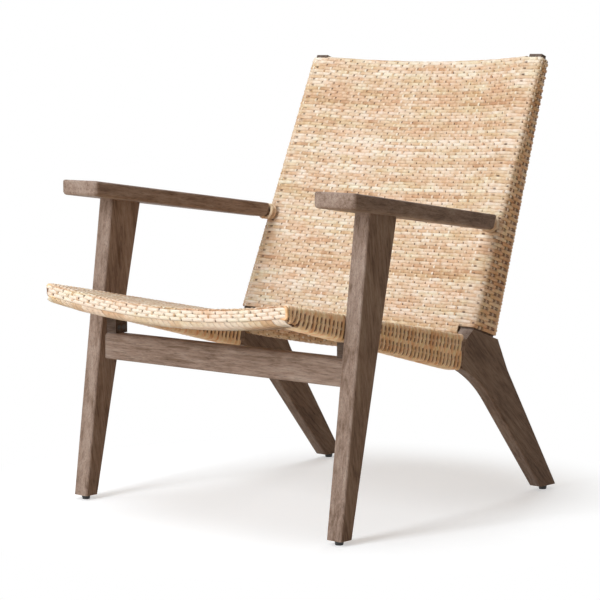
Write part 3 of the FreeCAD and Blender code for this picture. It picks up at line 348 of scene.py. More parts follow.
class Nodes:
    """A node tree, with short ways to add the nodes used here. Each gives the node's output."""

    def __init__(self, tree):
        self.tree = tree

    def feed(self, node, feeds):
        """Feed a node's inputs with values or with other nodes' outputs."""
        for name, value in feeds.items():
            if isinstance(name, int):
                socket = node.inputs[name]
            else:
                socket = next(one for one in node.inputs if one.name == name and one.enabled)
            if isinstance(value, bpy.types.NodeSocket):
                self.tree.links.new(value, socket)
            else:
                socket.default_value = value

    def add(self, kind, feeds=None, output=None, **settings):
        """Add a node, set it up and feed it."""
        made = self.tree.nodes.new(kind)
        for name, value in settings.items():
            setattr(made, name, value)
        self.feed(made, feeds or {})
        if output:
            return made.outputs[output]
        return next((one for one in made.outputs if one.enabled), made)

    def math(self, operation, *values):
        """Sum with numbers."""
        return self.add("ShaderNodeMath", dict(enumerate(values)), operation=operation)

    def vector(self, operation, *values):
        """Sum with vectors."""
        return self.add("ShaderNodeVectorMath", dict(enumerate(values)), operation=operation)

    def scaled(self, vector, share):
        """A vector times a number."""
        return self.add("ShaderNodeVectorMath", {"Vector": vector, "Scale": share}, operation="SCALE")

    def ranged(self, value, start=0.0, stop=1.0, low=0.0, high=1.0, ease="LINEAR"):
        """A value taken from one span to another."""
        return self.add("ShaderNodeMapRange", {
            "Value": value, "From Min": start, "From Max": stop, "To Min": low, "To Max": high,
        }, interpolation_type=ease)

    def noise(self, vector, scale, detail, **more):
        """Noise at some places."""
        return self.add("ShaderNodeTexNoise", {"Vector": vector, "Scale": scale, "Detail": detail, **more})

    def strand_noise(self, strand, scale, detail, output="Fac"):
        """Noise that differs from strand to strand."""
        return self.add("ShaderNodeTexNoise", {"W": strand, "Scale": scale, "Detail": detail}, output,
                        noise_dimensions="4D")

    def mapped(self, vector, **feeds):
        """Places moved, turned or stretched."""
        return self.add("ShaderNodeMapping", {"Vector": vector, **feeds})

    def bump(self, height, strength, distance):
        """Surface roughened by a height."""
        return self.add("ShaderNodeBump", {"Height": height, "Strength": strength, "Distance": distance})

    def ramp(self, factor, *stops):
        """Colour ramp through some stops."""
        made = self.add("ShaderNodeValToRGB", {"Fac": factor})
        band = made.node.color_ramp
        while len(band.elements) < len(stops):
            band.elements.new(1.0)
        for element, (spot, colour) in zip(band.elements, stops):
            element.position = spot
            element.color = (*colour, 1.0)
        return made

    def read(self, name, kind="FLOAT"):
        """Attribute of the guides."""
        return self.add("GeometryNodeInputNamedAttribute", {"Name": name}, data_type=kind)

    def store(self, geometry, name, value, kind="FLOAT"):
        """Geometry whose points keep a value under a name."""
        return self.add("GeometryNodeStoreNamedAttribute", {
            "Geometry": geometry, "Name": name, "Value": value}, data_type=kind, domain="POINT")

    def seen(self):
        """Whether a ray is a look at the scene, straight or by gloss or glass, and not its light."""
        path = self.add("ShaderNodeLightPath").node.outputs
        seen = self.math("MAXIMUM", path["Is Camera Ray"], path["Is Glossy Ray"])
        return self.math("MAXIMUM", seen, path["Is Transmission Ray"])


def strand_tree():
    """Node tree that turns guide lines into flat cane strands."""
    tree = bpy.data.node_groups.get("Cane strands")
    if tree:
        return tree
    tree = bpy.data.node_groups.new("Cane strands", "GeometryNodeTree")
    sockets = tree.interface
    sockets.new_socket("Guides", in_out="INPUT", socket_type="NodeSocketGeometry")
    for name, default in (("Width", 0.006), ("Thickness", 0.002), ("Lift", 0.001), ("Unevenness", 0.0005)):
        made = sockets.new_socket(name, in_out="INPUT", socket_type="NodeSocketFloat")
        made.default_value = default
        made.subtype = "DISTANCE"
    sockets.new_socket("Sides", in_out="INPUT", socket_type="NodeSocketInt").default_value = 8
    sockets.new_socket("Seed", in_out="INPUT", socket_type="NodeSocketInt")
    sockets.new_socket("Finish", in_out="INPUT", socket_type="NodeSocketMaterial")
    sockets.new_socket("Strands", in_out="OUTPUT", socket_type="NodeSocketGeometry")
    given = tree.nodes.new("NodeGroupInput").outputs
    nodes = Nodes(tree)
    outward = nodes.read("outward", "FLOAT_VECTOR")
    strand = nodes.read("strand", "INT")
    spot = nodes.add("GeometryNodeInputPosition")

    curves = nodes.add("GeometryNodeMeshToCurve", {"Mesh": given["Guides"]})
    tint = nodes.add("FunctionNodeRandomValue", {"ID": strand, "Seed": given["Seed"]}, data_type="FLOAT")
    curves = nodes.store(curves, "tint", tint)
    rise = nodes.math("MULTIPLY", nodes.read("lift"), given["Lift"])
    wander = nodes.strand_noise(strand, scale=45.0, detail=0.0, output="Color")
    centred = nodes.vector("SUBTRACT", wander, (0.5, 0.5, 0.5))
    offset = nodes.vector("ADD", nodes.scaled(outward, rise), nodes.scaled(centred, given["Unevenness"]))
    curves = nodes.add("GeometryNodeSetPosition", {"Geometry": curves, "Offset": offset})
    curves = nodes.add("GeometryNodeSetCurveNormal", {"Curve": curves, "Normal": outward}, mode="FREE")
    swell = nodes.ranged(nodes.strand_noise(strand, scale=70.0, detail=1.0), low=0.82, high=1.18)
    girth = nodes.math("MULTIPLY", swell, nodes.read("girth"))
    curves = nodes.add("GeometryNodeSetCurveRadius", {"Curve": curves, "Radius": girth})
    curves = nodes.store(curves, "middle", spot, "FLOAT_VECTOR")

    circle = nodes.add("GeometryNodeCurvePrimitiveCircle", {"Resolution": given["Sides"], "Radius": 0.5},
                       mode="RADIUS")
    circle = nodes.store(circle, "round", nodes.add("GeometryNodeSplineParameter"))
    size = nodes.add("ShaderNodeCombineXYZ", {"X": given["Thickness"], "Y": given["Width"], "Z": 1.0})
    section = nodes.add("GeometryNodeTransform", {"Geometry": circle, "Scale": size})
    cane = nodes.add("GeometryNodeCurveToMesh", {
        "Curve": curves, "Profile Curve": section, "Fill Caps": True})
    away = nodes.vector("SUBTRACT", spot, nodes.read("middle", "FLOAT_VECTOR"))
    plump = nodes.math("MULTIPLY", nodes.read("plump"), nodes.vector("DOT_PRODUCT", away, outward))
    cane = nodes.add("GeometryNodeSetPosition", {"Geometry": cane, "Offset": nodes.scaled(outward, plump)})
    cane = nodes.add("GeometryNodeSetShadeSmooth", {"Geometry": cane})
    cane = nodes.add("GeometryNodeRealizeInstances", {"Geometry": cane})
    cane = nodes.add("GeometryNodeSetMaterial", {"Geometry": cane, "Material": given["Finish"]})
    nodes.add("NodeGroupOutput", {"Strands": cane})
    return tree


# Guide lines

def reach_along(line):
    """How far along a line each of its points lies."""
    return np.concatenate([[0.0], np.cumsum(np.linalg.norm(np.diff(line, axis=0), axis=1))])


def at(places, along, line):
    """Points at some places along a line."""
    return np.stack([np.interp(places, along, axis) for axis in line.T], axis=-1)


def eased(corners, ease, spacing):
    """Even points along a line whose corners are eased, and how far along each point lies."""
    corners = np.array(corners, float)
    reach = reach_along(corners)
    line = at(np.linspace(0.0, reach[-1], int(reach[-1] / FINE) + 2), reach, corners)
    window = int(ease / FINE)
    for _ in range(2 if window else 0):
        head = 2 * line[0] - line[window:0:-1]
        tail = 2 * line[-1] - line[-2:-window - 2:-1]
        padded = np.concatenate([head, line, tail])
        kernel = np.ones(2 * window + 1) / (2 * window + 1)
        line = np.stack([np.convolve(axis, kernel, "valid") for axis in padded.T], axis=1)
    reach = reach_along(line)
    along = np.linspace(0.0, reach[-1], max(int(round(reach[-1] / spacing)), 2) + 1)
    return at(along, reach, line), along


def left_of(line):
    """Unit normals on the left of a line in a plane."""
    course = np.gradient(line, axis=0)
    course /= np.linalg.norm(course, axis=1)[:, None]
    return np.stack([-course[:, 1], course[:, 0]], axis=1)


def profile(corners, ease, spacing):
    """Points of an eased line, its normals, and how far along the outside of the cane each point lies."""
    line, _ = eased(corners, ease, spacing)
    normals = left_of(line)
    return line, normals, reach_along(line + normals * OUTSIDE)


def nearest(line, along, corner):
    """How far along a line it passes a corner."""
    return along[np.argmin(np.abs(line - corner).sum(axis=1))]


class Guides:
    """Lines for strands, with what each of their points carries."""

    CARRIED = {
        "outward": "FLOAT_VECTOR", "lift": "FLOAT", "along": "FLOAT", "strand": "INT",
        "pale": "FLOAT", "girth": "FLOAT", "plump": "FLOAT", "step": "FLOAT"}

    def __init__(self):
        self.points = []
        self.carried = {name: [] for name in self.CARRIED}

    def add(self, points, outward, lift, along, strand, pale=0.0, girth=1.0, plump=0.0, step=0.0):
        """Take in one strand, which may be paler, wider and rounder, and may count the stakes it passes."""
        self.points.append(points)
        values = (outward, lift, along, strand, pale, girth, plump, step)
        for kept, value in zip(self.carried.values(), values):
            kept.append(np.broadcast_to(value, (len(points), *np.shape(value)[1:])))

    def mesh(self, name):
        """All lines as one mesh of edges."""
        points = np.concatenate(self.points)
        last = np.cumsum([len(one) for one in self.points]) - 1
        first = np.setdiff1d(np.arange(len(points)), last)
        edges = np.stack([first, first + 1], axis=1)
        mesh = bpy.data.meshes.new(name)
        mesh.vertices.add(len(points))
        mesh.vertices.foreach_set("co", points.astype(np.float32).ravel())
        mesh.edges.add(len(edges))
        mesh.edges.foreach_set("vertices", edges.astype(np.int32).ravel())
        for title, kind in self.CARRIED.items():
            values = np.concatenate(self.carried[title]).astype(np.int32 if kind == "INT" else np.float32)
            data = mesh.attributes.new(title, kind, "POINT").data
            data.foreach_set("vector" if kind == "FLOAT_VECTOR" else "value", values.ravel())
        return mesh


def woven(name, guides, width, thickness, finish, sides=8, lift=None):
    """Weave the strands of some guides into one finished piece."""
    weave = bpy.context.scene.chair_weave
    tree = strand_tree()
    piece = bpy.data.objects.new(name, guides.mesh(name))
    bpy.context.scene.collection.objects.link(piece)
    modifier = piece.modifiers.new("Strands", "NODES")
    modifier.node_group = tree
    values = {
        "Width": width, "Thickness": thickness, "Lift": weave.lift if lift is None else lift,
        "Unevenness": weave.uneven, "Sides": sides, "Seed": weave.seed, "Finish": finish}
    for socket in tree.interface.items_tree:
        if socket.in_out == "INPUT" and socket.name in values:
            modifier[socket.identifier] = values[socket.name]
    depsgraph = bpy.context.evaluated_depsgraph_get()
    finished = bpy.data.meshes.new_from_object(piece.evaluated_get(depsgraph), depsgraph=depsgraph)
    if not finished.polygons:
        raise RuntimeError(f"{name} came out empty")
    piece.modifiers.remove(modifier)
    piece.data = finished
    finished.name = name
    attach(piece, "root")
    return piece


def row_girth(lift):
    """A row spreads where it passes over a stake and narrows where it passes under one."""
    return 1.0 + ROW_SPREAD * lift


def looped_form(step, wrapped):
    """Lift and girth of a row, which rises further and is narrower where it is wrapped round a rail."""
    lift = np.cos(np.pi * step)
    return lift * (1.0 + wrapped), row_girth(lift) - wrapped * LOOP_NARROWING


def alternate(along, stations, row, half):
    """Count of the stakes at a row's stations, even where the row passes over and odd where under."""
    number = np.interp(along, stations, np.arange(len(stations)))
    before = along < stations[0]
    number[before] = (along[before] - stations[0]) / (stations[1] - stations[0])
    return number + row if half > 0 else row - 1 - number


# Seat

def seat_dip(across, depth):
    """How far the seat sinks below its side rails."""
    middle = DIP_FRONT + (DIP_REAR - DIP_FRONT) * np.clip(depth / DECK_END, 0.0, 1.0)
    return middle * np.clip(1.0 - (across / DECK_HALF) ** 2, 0.0, 1.0)


def seat_profile(inset, spacing):
    """Depths and heights from the front roll's foot, over the seat and right round the rear roll."""
    top_end = SEAT_HEIGHT - SEAT_FALL * REAR_ROLL_END
    front, end = REAR_ROLL_FRONT + inset, REAR_ROLL_END - inset
    return profile([
        (inset, SLEEVE_HEIGHT + FRONT_ROW_RISE), (inset, SEAT_HEIGHT - inset),
        (end, top_end - inset), (end, REAR_ROLL_LOW + inset),
        (front, REAR_ROLL_LOW + inset), (front, REAR_ROLL_LOW + REAR_ROLL_HEIGHT)], SEAT_EASE, spacing)


def row_number(along, weave):
    """How many rows lie before each place on the seat, whose front roll has wider rows."""
    roll = FRONT_ROWS * weave.row_pitch
    return np.where(along < roll, along / weave.row_pitch, FRONT_ROWS + (along - roll) / weave.seat_pitch)


def sleeve_low(depth):
    """Height of the weave under a side rail, rounded at the front roll."""
    if depth < ROLL_ROUND:
        return SLEEVE_HEIGHT + ROLL_ROUND - math.sqrt(ROLL_ROUND ** 2 - (ROLL_ROUND - depth) ** 2)
    return SLEEVE_HEIGHT - SLEEVE_FALL * depth


def loop_lean(depth, down):
    """How far a loop round a side rail leans forward at a height below its top."""
    fading = np.exp(-np.clip(depth - SWEEP_START, 0.0, 1.0) / SWEEP_REACH)
    swept = LOOP_SLANT * down + LOOP_SWEEP * down ** 2 * fading
    return np.minimum(swept, np.clip(depth - SWEEP_ROOM, 0.0, 1.0))


def seat_side_shares(depth):
    """Where the stakes run on the seat's side, as shares of its height from the top."""
    return FRONT_SIDE_SHARES if depth < STAKE_CHANGE else REAR_SIDE_SHARES


def seat_row(row, depth, height, half, weave):
    """One row from the seat's middle over a side rail and round it."""
    outer = SEAT_HALF - SEAT_INSET - ROUND_INSET
    inner = SLEEVE_INNER + SEAT_INSET
    low = sleeve_low(depth - loop_lean(depth, LOOP_DROP)) + SEAT_INSET + ROUND_INSET
    across = np.linspace(0.0, DECK_EDGE, PANEL_POINTS)
    deck = np.stack([across, height - seat_dip(across, depth)], axis=1)
    turns = [(outer, height), (outer, low), (inner, low), (inner, height - LOOP_TIP)]
    line, along = eased(np.concatenate([deck, turns]), TURN_EASE, weave.stake_pitch / STAKE_POINTS)
    normals = left_of(line)
    wrapped = np.clip((along - DECK_EDGE) / LOOP_TURN, 0.0, 1.0)
    shift = -loop_lean(depth, np.clip(height - line[:, 1], 0.0, 1.0)) * wrapped
    edge = nearest(line, along, (outer, height))
    under = edge + (height - low) + (outer - inner) / 2
    stations = np.concatenate([
        (np.arange(SEAT_STAKES) + 0.5) * weave.stake_pitch,
        [edge + share * (height - low) for share in seat_side_shares(depth)], [under, under + LOOP_PAST]])
    step = alternate(along, stations, row, half)
    lift, girth = looped_form(step, wrapped)
    points = np.stack([half * line[:, 0], depth + shift + SEAT_FRONT, line[:, 1]], axis=1)
    outward = np.stack([half * normals[:, 0], 0.0 * shift, normals[:, 1]], axis=1)
    return points, outward, lift, along, girth, SEAT_PLUMP * wrapped, step


def plain_row(row, base, normal, end, half, weave, tuck=0.0):
    """One row across a roll, from the middle to an end, whose tip may turn inward."""
    depth, height = base
    corners = [(0.0, 0.0), (end, 0.0)]
    if tuck:
        corners.append((end, -tuck))
    line, along = eased(corners, TIP_EASE if tuck else 0.0, weave.stake_pitch / STAKE_POINTS)
    across, inward = line.T
    turned = left_of(line)
    step = half * across / weave.stake_pitch - 0.5 + row
    lift = np.cos(np.pi * step)
    points = np.stack([
        half * across, depth + SEAT_FRONT + normal[0] * inward,
        height + normal[1] * inward - seat_dip(across, depth)], axis=1)
    outward = np.stack([
        half * turned[:, 0], normal[0] * turned[:, 1], normal[1] * turned[:, 1]], axis=1)
    return points, outward, lift, along, row_girth(lift), step


def seat_rows(weave):
    """Guides for the rows of the seat: left half, right half, and the rows on the rolls."""
    line, normals, along = seat_profile(SEAT_INSET, FINE)
    numbers = row_number(along, weave)
    halves = {1: Guides(), -1: Guides()}
    rolls = Guides()
    loops = 0
    for row in range(int(numbers[-1])):
        base, normal = at(row, numbers, line), at(row, numbers, normals)
        looped = normal[1] > LOOP_FACING and base[0] < SLEEVE_END
        loops += looped
        for half, _ in SIDES:
            if looped:
                *guide, girth, plump, step = seat_row(row, *base, half, weave)
                # The loops are painted paler as painted light on the shaded sides; the first loops on the
                # left are browner
                pale = LOOP_PAINTED_LIGHT * plump + (FIRST_LOOP_TONE if loops <= FIRST_LOOPS and half > 0 else 0.0)
                halves[half].add(*guide, row, pale, girth, plump, step)
            elif base[0] > SLEEVE_END:
                *guide, girth, step = plain_row(row, base, normal, REAR_HALF, half, weave)
                # The rear roll is painted darker as painted shade
                rolls.add(*guide, row, REAR_ROLL_SHADE, girth * REAR_ROLL_GIRTH, 0.0, step)
            else:
                end = SEAT_HALF - ROLL_END_GAP
                *guide, girth, step = plain_row(row, base, normal, end, half, weave, TIP_TUCK)
                rolls.add(*guide, row, FRONT_ROLL_TONE, girth + FRONT_ROLL_SPREAD, 0.0, step)
    return halves[1], halves[-1], rolls


def roll_wraps(weave):
    """Guides for the flat strips that pass slanting under the front roll, in pairs of one colour."""
    guides = Guides()
    low, deep = SLEEVE_HEIGHT, ROLL_DEPTH + WRAP_PAST
    line, along = eased([
        (WRAP_INSET, low + WRAP_RISE), (WRAP_INSET, low), (deep, low - SEAT_FALL * deep),
        (deep, low + WRAP_RISE)], WRAP_EASE, WRAP_SPACING)
    kept = (along > WRAP_START) & (along < along[-1] - WRAP_STOP)
    line, along = line[kept], along[kept]
    normals = -left_of(line)
    count = int(SEAT_HALF / weave.stake_pitch)
    for number in range(-count - WRAP_EXTRA, count + 1):
        across = (number + 0.5) * weave.stake_pitch + WRAP_SLANT * along
        kept = np.abs(across) < SEAT_HALF - WRAP_END_GAP
        if kept.sum() < WRAP_FEWEST_POINTS:
            continue
        height = line[:, 1] - seat_dip(across, line[:, 0])
        points = np.stack([across, line[:, 0] + SEAT_FRONT, height], axis=1)
        outward = np.stack([0.0 * along, *normals.T], axis=1)
        guides.add(points[kept], outward[kept], 0.0, along[kept], WRAP_STRANDS + number // 2, WRAP_TONE)
    return guides


def seat_stakes(half, weave):
    """Guides for one half's stakes that run from front to rear, and for those along the seat's side."""
    line, normals, along = seat_profile(SEAT_INSET, weave.seat_pitch / STAKE_POINTS)
    rows = row_number(along, weave)
    guides = Guides()
    for number in range(SEAT_STAKES) if half > 0 else range(-SEAT_STAKES, 0):
        across = np.full(len(line), (number + 0.5) * weave.stake_pitch)
        kept = np.ones(len(line), bool)
        if abs(across[0]) > SLEEVE_INNER - STAKE_CLEAR:
            kept &= line[:, 0] < SLEEVE_END
        lift = -STAKE_LIFT * np.cos(np.pi * (rows + number))
        height = line[:, 1] - seat_dip(across, line[:, 0])
        points = np.stack([across, line[:, 0] + SEAT_FRONT, height], axis=1)
        outward = np.stack([0.0 * across, *normals.T], axis=1)
        # The stakes are painted paler as a painted highlight on the ticks
        guides.add(points[kept], outward[kept], lift[kept], along[kept], SEAT_STAKE_STRANDS + number,
                   STAKE_HIGHLIGHT)
    top = (normals[:, 1] > LOOP_FACING) & (line[:, 0] < SLEEVE_END - SIDE_STAKE_GAP)
    for start, stop in ((0.0, STAKE_CHANGE), (STAKE_CHANGE, 1.0)):
        part = top & (line[:, 0] >= start) & (line[:, 0] < stop)
        depth, height = line[part].T
        low = np.array([sleeve_low(one) for one in depth - loop_lean(depth, LOOP_DROP)]) + SEAT_INSET
        for number, share in enumerate(seat_side_shares((start + min(stop, SLEEVE_END)) / 2)):
            down = share * (height - low)
            index = SEAT_STAKES + number if half > 0 else -SEAT_STAKES - 1 - number
            lift = -SIDE_STAKE_LIFT * STAKE_LIFT * np.cos(np.pi * (rows[part] + index))
            points = np.stack([
                np.full(len(depth), half * (SEAT_HALF - SEAT_INSET)),
                depth - loop_lean(depth, down) + SEAT_FRONT, height - down], axis=1)
            outward = np.tile((half, 0.0, 0.0), (len(depth), 1))
            # The side stakes are painted darker as painted shade
            guides.add(points, outward, lift, along[part], SEAT_SIDE_STRANDS + SIDE_APART * half + number,
                       SIDE_STAKE_SHADE)
    return guides


# Back

def back_lean(along):
    """How far the back narrows on each side."""
    return LEAN_IN * along


def back_bow(across, along):
    """How far the back lies behind the line between its posts."""
    middle = BOW_FOOT + (BOW_HEAD - BOW_FOOT) * np.clip(along / BACK_LENGTH, 0.0, 1.0)
    return middle * (1.0 - (across / (PANEL_HALF - back_lean(along))) ** 2)


def back_places(across, inward, along):
    """Points of the scene from places on the back."""
    depth = FOOT_DEPTH + SEAT_FRONT + inward * math.cos(RAKE) + along * math.sin(RAKE)
    height = FOOT_HEIGHT - inward * math.sin(RAKE) + along * math.cos(RAKE)
    return np.stack([across + 0.0 * depth, depth, height], axis=1)


def back_courses(across, inward, along):
    """Directions of the scene from directions on the back."""
    return np.stack([
        across, inward * math.cos(RAKE) + along * math.sin(RAKE),
        along * math.cos(RAKE) - inward * math.sin(RAKE)], axis=1)


def back_profile(inset, spacing):
    """Inward and along places from behind the bottom roll, up the front and over the top roll."""
    head, low = BACK_LENGTH - inset - HEAD_DROP, FOOT_ROLL_LOW + inset
    return profile([
        (FOOT_ROLL_DEPTH - inset, FOOT_ROLL_HEAD), (FOOT_ROLL_DEPTH - inset, low), (inset, low),
        (BACK_TAPER * BACK_LENGTH + inset, head), (BACK_REAR - inset, head),
        (BACK_REAR - inset, HEAD_ROLL_LOW)], BACK_EASE, spacing)


def back_row(row, height, half, weave):
    """One row from the back's middle over a post and round it."""
    lean = back_lean(height)
    face = BACK_TAPER * height + BACK_INSET
    far = BACK_REAR - BACK_INSET - ROUND_INSET + REAR_FLARE * height / BACK_LENGTH
    outer = BACK_HALF - lean - BACK_INSET - POST_ROUND_SHARE * ROUND_INSET
    inner = PANEL_HALF - lean + BACK_INSET
    across = np.linspace(0.0, PANEL_HALF - lean, PANEL_POINTS)
    panel = np.stack([across, face + back_bow(across, height)], axis=1)
    turns = [(outer, face), (outer, far), (inner, far), (inner, face + PANEL_THICKNESS)]
    line, along = eased(np.concatenate([panel, turns]), TURN_EASE, weave.stake_pitch / STAKE_POINTS)
    normals = -left_of(line)
    stakes = (np.arange(BACK_STAKES) + 0.5) * weave.stake_pitch * (1.0 - lean / BACK_HALF)
    bend = nearest(line, along, (outer, face))
    rear = bend + (far - face) + (outer - inner) / 2
    stations = np.concatenate([
        np.interp(stakes, line[:FLAT_POINTS, 0], along[:FLAT_POINTS]), [bend - (BACK_HALF - POST_STAKE)],
        [bend + share * (far - face) for share in BACK_SIDE_SHARES], [rear, rear + POST_PAST]])
    step = alternate(along, stations, row, half)
    wrapped = np.clip((along - bend) / POST_TURN, 0.0, 1.0)
    lift, girth = looped_form(step, wrapped)
    zero = np.zeros(len(line))
    points = back_places(half * line[:, 0], line[:, 1], zero + height)
    outward = back_courses(half * normals[:, 0], normals[:, 1], zero)
    return points, outward, lift, along, girth, BACK_PLUMP * wrapped, step


def back_roll_row(row, base, normal, half, weave):
    """One row across the top or the bottom roll, between the posts."""
    inward, height = base
    lean = back_lean(height)
    end = PANEL_HALF - lean - ROLL_END_GAP
    across = np.linspace(0.0, end, int(end / (weave.stake_pitch / STAKE_POINTS)) + 1)
    pitch = weave.stake_pitch * (1.0 - lean / BACK_HALF)
    lift = np.cos(np.pi * ((half * across / pitch - 0.5) + row))
    if normal[1] > HEAD_FACING:
        lift = HEAD_WAVE * lift + (1.0 - HEAD_WAVE)
    zero = np.zeros(len(across))
    points = back_places(half * across, inward + back_bow(across, height), zero + height)
    outward = back_courses(zero, zero + normal[0], zero + normal[1])
    return points, outward, lift, across, row_girth(lift)


def back_rows(weave):
    """Guides for the rows of the back: left half, right half, and the rows on its rolls."""
    line, normals, along = back_profile(BACK_INSET, FINE)
    halves = {1: Guides(), -1: Guides()}
    rolls = Guides()
    for row in range(1, int(along[-1] / weave.row_pitch)):
        place = row * weave.row_pitch
        base, normal = at(place, along, line), at(place, along, normals)
        for half, _ in SIDES:
            if normal[0] < BACK_FACING and base[1] > BACK_ROW_LOW:
                *guide, girth, plump, step = back_row(row, base[1], half, weave)
                halves[half].add(*guide, BACK_STRANDS + row, 0.0, girth, plump, step)
            else:
                # The back's bottom roll is painted darker as painted shade
                pale = FOOT_ROLL_SHADE if base[1] < FOOT_ROLL_REACH else 0.0
                *guide, girth = back_roll_row(row, base, normal, half, weave)
                rolls.add(*guide, BACK_STRANDS + row, pale, girth)
    return halves[1], halves[-1], rolls


def back_stakes(half, weave):
    """Guides for one half's stakes of the back and those along its post."""
    line, normals, along = back_profile(BACK_INSET, weave.row_pitch / STAKE_POINTS)
    inward, height = line.T
    lean = back_lean(height)
    guides = Guides()
    for number in range(BACK_STAKES) if half > 0 else range(-BACK_STAKES, 0):
        across = (number + 0.5) * weave.stake_pitch * (1.0 - lean / BACK_HALF)
        lift = -STAKE_LIFT * np.cos(np.pi * (along / weave.row_pitch + number))
        lift[normals[:, 1] > HEAD_FACING] = -STAKE_LIFT
        # The stakes are painted paler as a painted highlight on the ticks
        guides.add(back_places(across, inward + back_bow(across, height), height),
                   back_courses(0.0 * across, *normals.T), lift, along,
                   BACK_STAKE_STRANDS + number, STAKE_HIGHLIGHT)
    front = (normals[:, 0] < BACK_FACING) & (height > BACK_ROW_LOW)
    height, lean, rows = height[front], lean[front], along[front] / weave.row_pitch
    zero = np.zeros(len(height))
    face = BACK_TAPER * height + BACK_INSET
    rear = BACK_REAR - BACK_INSET + REAR_FLARE * height / BACK_LENGTH
    runs = [(POST_STAKE - lean, face, (0.0, -1.0))]
    for share in BACK_SIDE_SHARES:
        runs.append((BACK_HALF - BACK_INSET - lean, face + share * (rear - face), (1.0, 0.0)))
    runs.append(((BACK_HALF + PANEL_HALF) / 2 - lean, rear, (0.0, 1.0)))
    for number, (across, depth, facing) in enumerate(runs):
        index = BACK_STAKES + number if half > 0 else -BACK_STAKES - 1 - number
        lift = -STAKE_LIFT * np.cos(np.pi * (rows + index))
        # The post stakes are painted paler as a painted highlight on the ticks
        guides.add(back_places(half * across, depth, height),
                   back_courses(zero + half * facing[0], zero + facing[1], zero),
                   lift, along[front], POST_STRANDS + SIDE_APART * half + number, POST_STAKE_HIGHLIGHT)
    return guides


# Collars

def collar_guides(half, weave):
    """Guide for round cane wound round an arm's neck, parallel to the back."""
    radius = NECK_RADIUS + weave.collar_cane / 2 + NECK_CLEAR
    share = np.linspace(0.0, 1.0, int(COLLAR_TURNS * COLLAR_POINTS) + 1)
    angle = -math.pi / 2 + share * COLLAR_TURNS * 2 * math.pi
    upward = Vector((0.0, BACK_LEAN, 1.0)).normalized()
    meet = FOOT_DEPTH + BACK_LEAN * (ARM_HEIGHT + NECK_RISE + ARM_FALL * ARM_FRONT - FOOT_HEIGHT)
    slope = math.sqrt(1.0 + BACK_LEAN ** 2)
    first, last = (
        (meet - gap * slope) / (1.0 + BACK_LEAN * ARM_FALL) for gap in (COLLAR_START, COLLAR_STOP))
    depth = first + (last - first) * share
    axis = ARM_HEIGHT - ARM_FALL * (depth - ARM_FRONT) + NECK_RISE
    spoke = np.stack([np.cos(angle), np.sin(angle) * upward.y, np.sin(angle) * upward.z], axis=1)
    middle = np.stack([np.full(len(angle), NECK_ACROSS), depth + SEAT_FRONT, axis], axis=1)
    mirror = (half, 1.0, 1.0)
    guides = Guides()
    guides.add((middle + spoke * radius) * mirror, spoke * mirror, 0.0, angle * radius,
               COLLAR_STRANDS + half)
    return guides


# Finishes

def new_material(name):
    """A material with a plain surface shader, its nodes and that shader."""
    made = bpy.data.materials.new(name)
    made.use_nodes = True
    made.node_tree.nodes.clear()
    nodes = Nodes(made.node_tree)
    surface = nodes.add("ShaderNodeBsdfPrincipled")
    nodes.add("ShaderNodeOutputMaterial", {"Surface": surface})
    return made, nodes, surface.node


def shade(colour, share):
    """A colour made lighter or darker."""
    return tuple(min(part * share, 1.0) for part in colour)


def cane_tone(nodes, spot, strand_place, tint, pale):
    """How pale the cane is: stretches and flecks along each strand, and patches over many strands."""
    drift = nodes.noise(strand_place, scale=15.0, detail=3.0, Roughness=0.62)
    fleck = nodes.math("SUBTRACT", nodes.noise(strand_place, scale=110.0, detail=1.0), 0.5)
    patch = nodes.noise(nodes.mapped(spot, Scale=(3.0, 14.0, 14.0)), scale=1.0, detail=2.0)
    level = nodes.math("MULTIPLY_ADD", drift, DRIFT_SHARE, DRIFT_BASE)
    for part, share in ((tint, TINT_SHARE), (fleck, FLECK_SHARE), (patch, PATCH_SHARE)):
        level = nodes.math("MULTIPLY_ADD", part, share, level)
    return nodes.math("ADD", level, pale)


def cane_shade_mask(nodes, spot, fibre, round_way, step, plump):
    """How much painted shade darkens the cane: painted shade specks beside the stakes, and painted shade in
    the holes between the loops.
    """
    beside = nodes.math("PINGPONG", nodes.math("SUBTRACT", step, 1.25), 1.0)
    beside = nodes.ranged(beside, 0.17, 0.07, ease="SMOOTHSTEP")
    edge = nodes.math("PINGPONG", nodes.math("SUBTRACT", round_way, SHADE_SPOT_SIDE), 0.5)
    speck = nodes.noise(nodes.mapped(spot, Scale=(60.0, 130.0, 130.0)), scale=1.0, detail=1.0)
    shade_dot = nodes.math("MULTIPLY", beside, nodes.ranged(edge, 0.2, 0.08))
    shade_dot = nodes.math("MULTIPLY", shade_dot, nodes.ranged(speck, 0.30, 0.60))
    under = nodes.math("PINGPONG", nodes.math("SUBTRACT", step, 1.0), 1.0)
    hole_shade = nodes.math("MULTIPLY", nodes.ranged(under, 0.38, 0.24, ease="SMOOTHSTEP"), plump)
    hole_shade = nodes.math("MULTIPLY", hole_shade, nodes.ranged(fibre, 0.35, 0.6, 0.6, 1.0))
    return nodes.math("MAXIMUM", shade_dot, hole_shade)


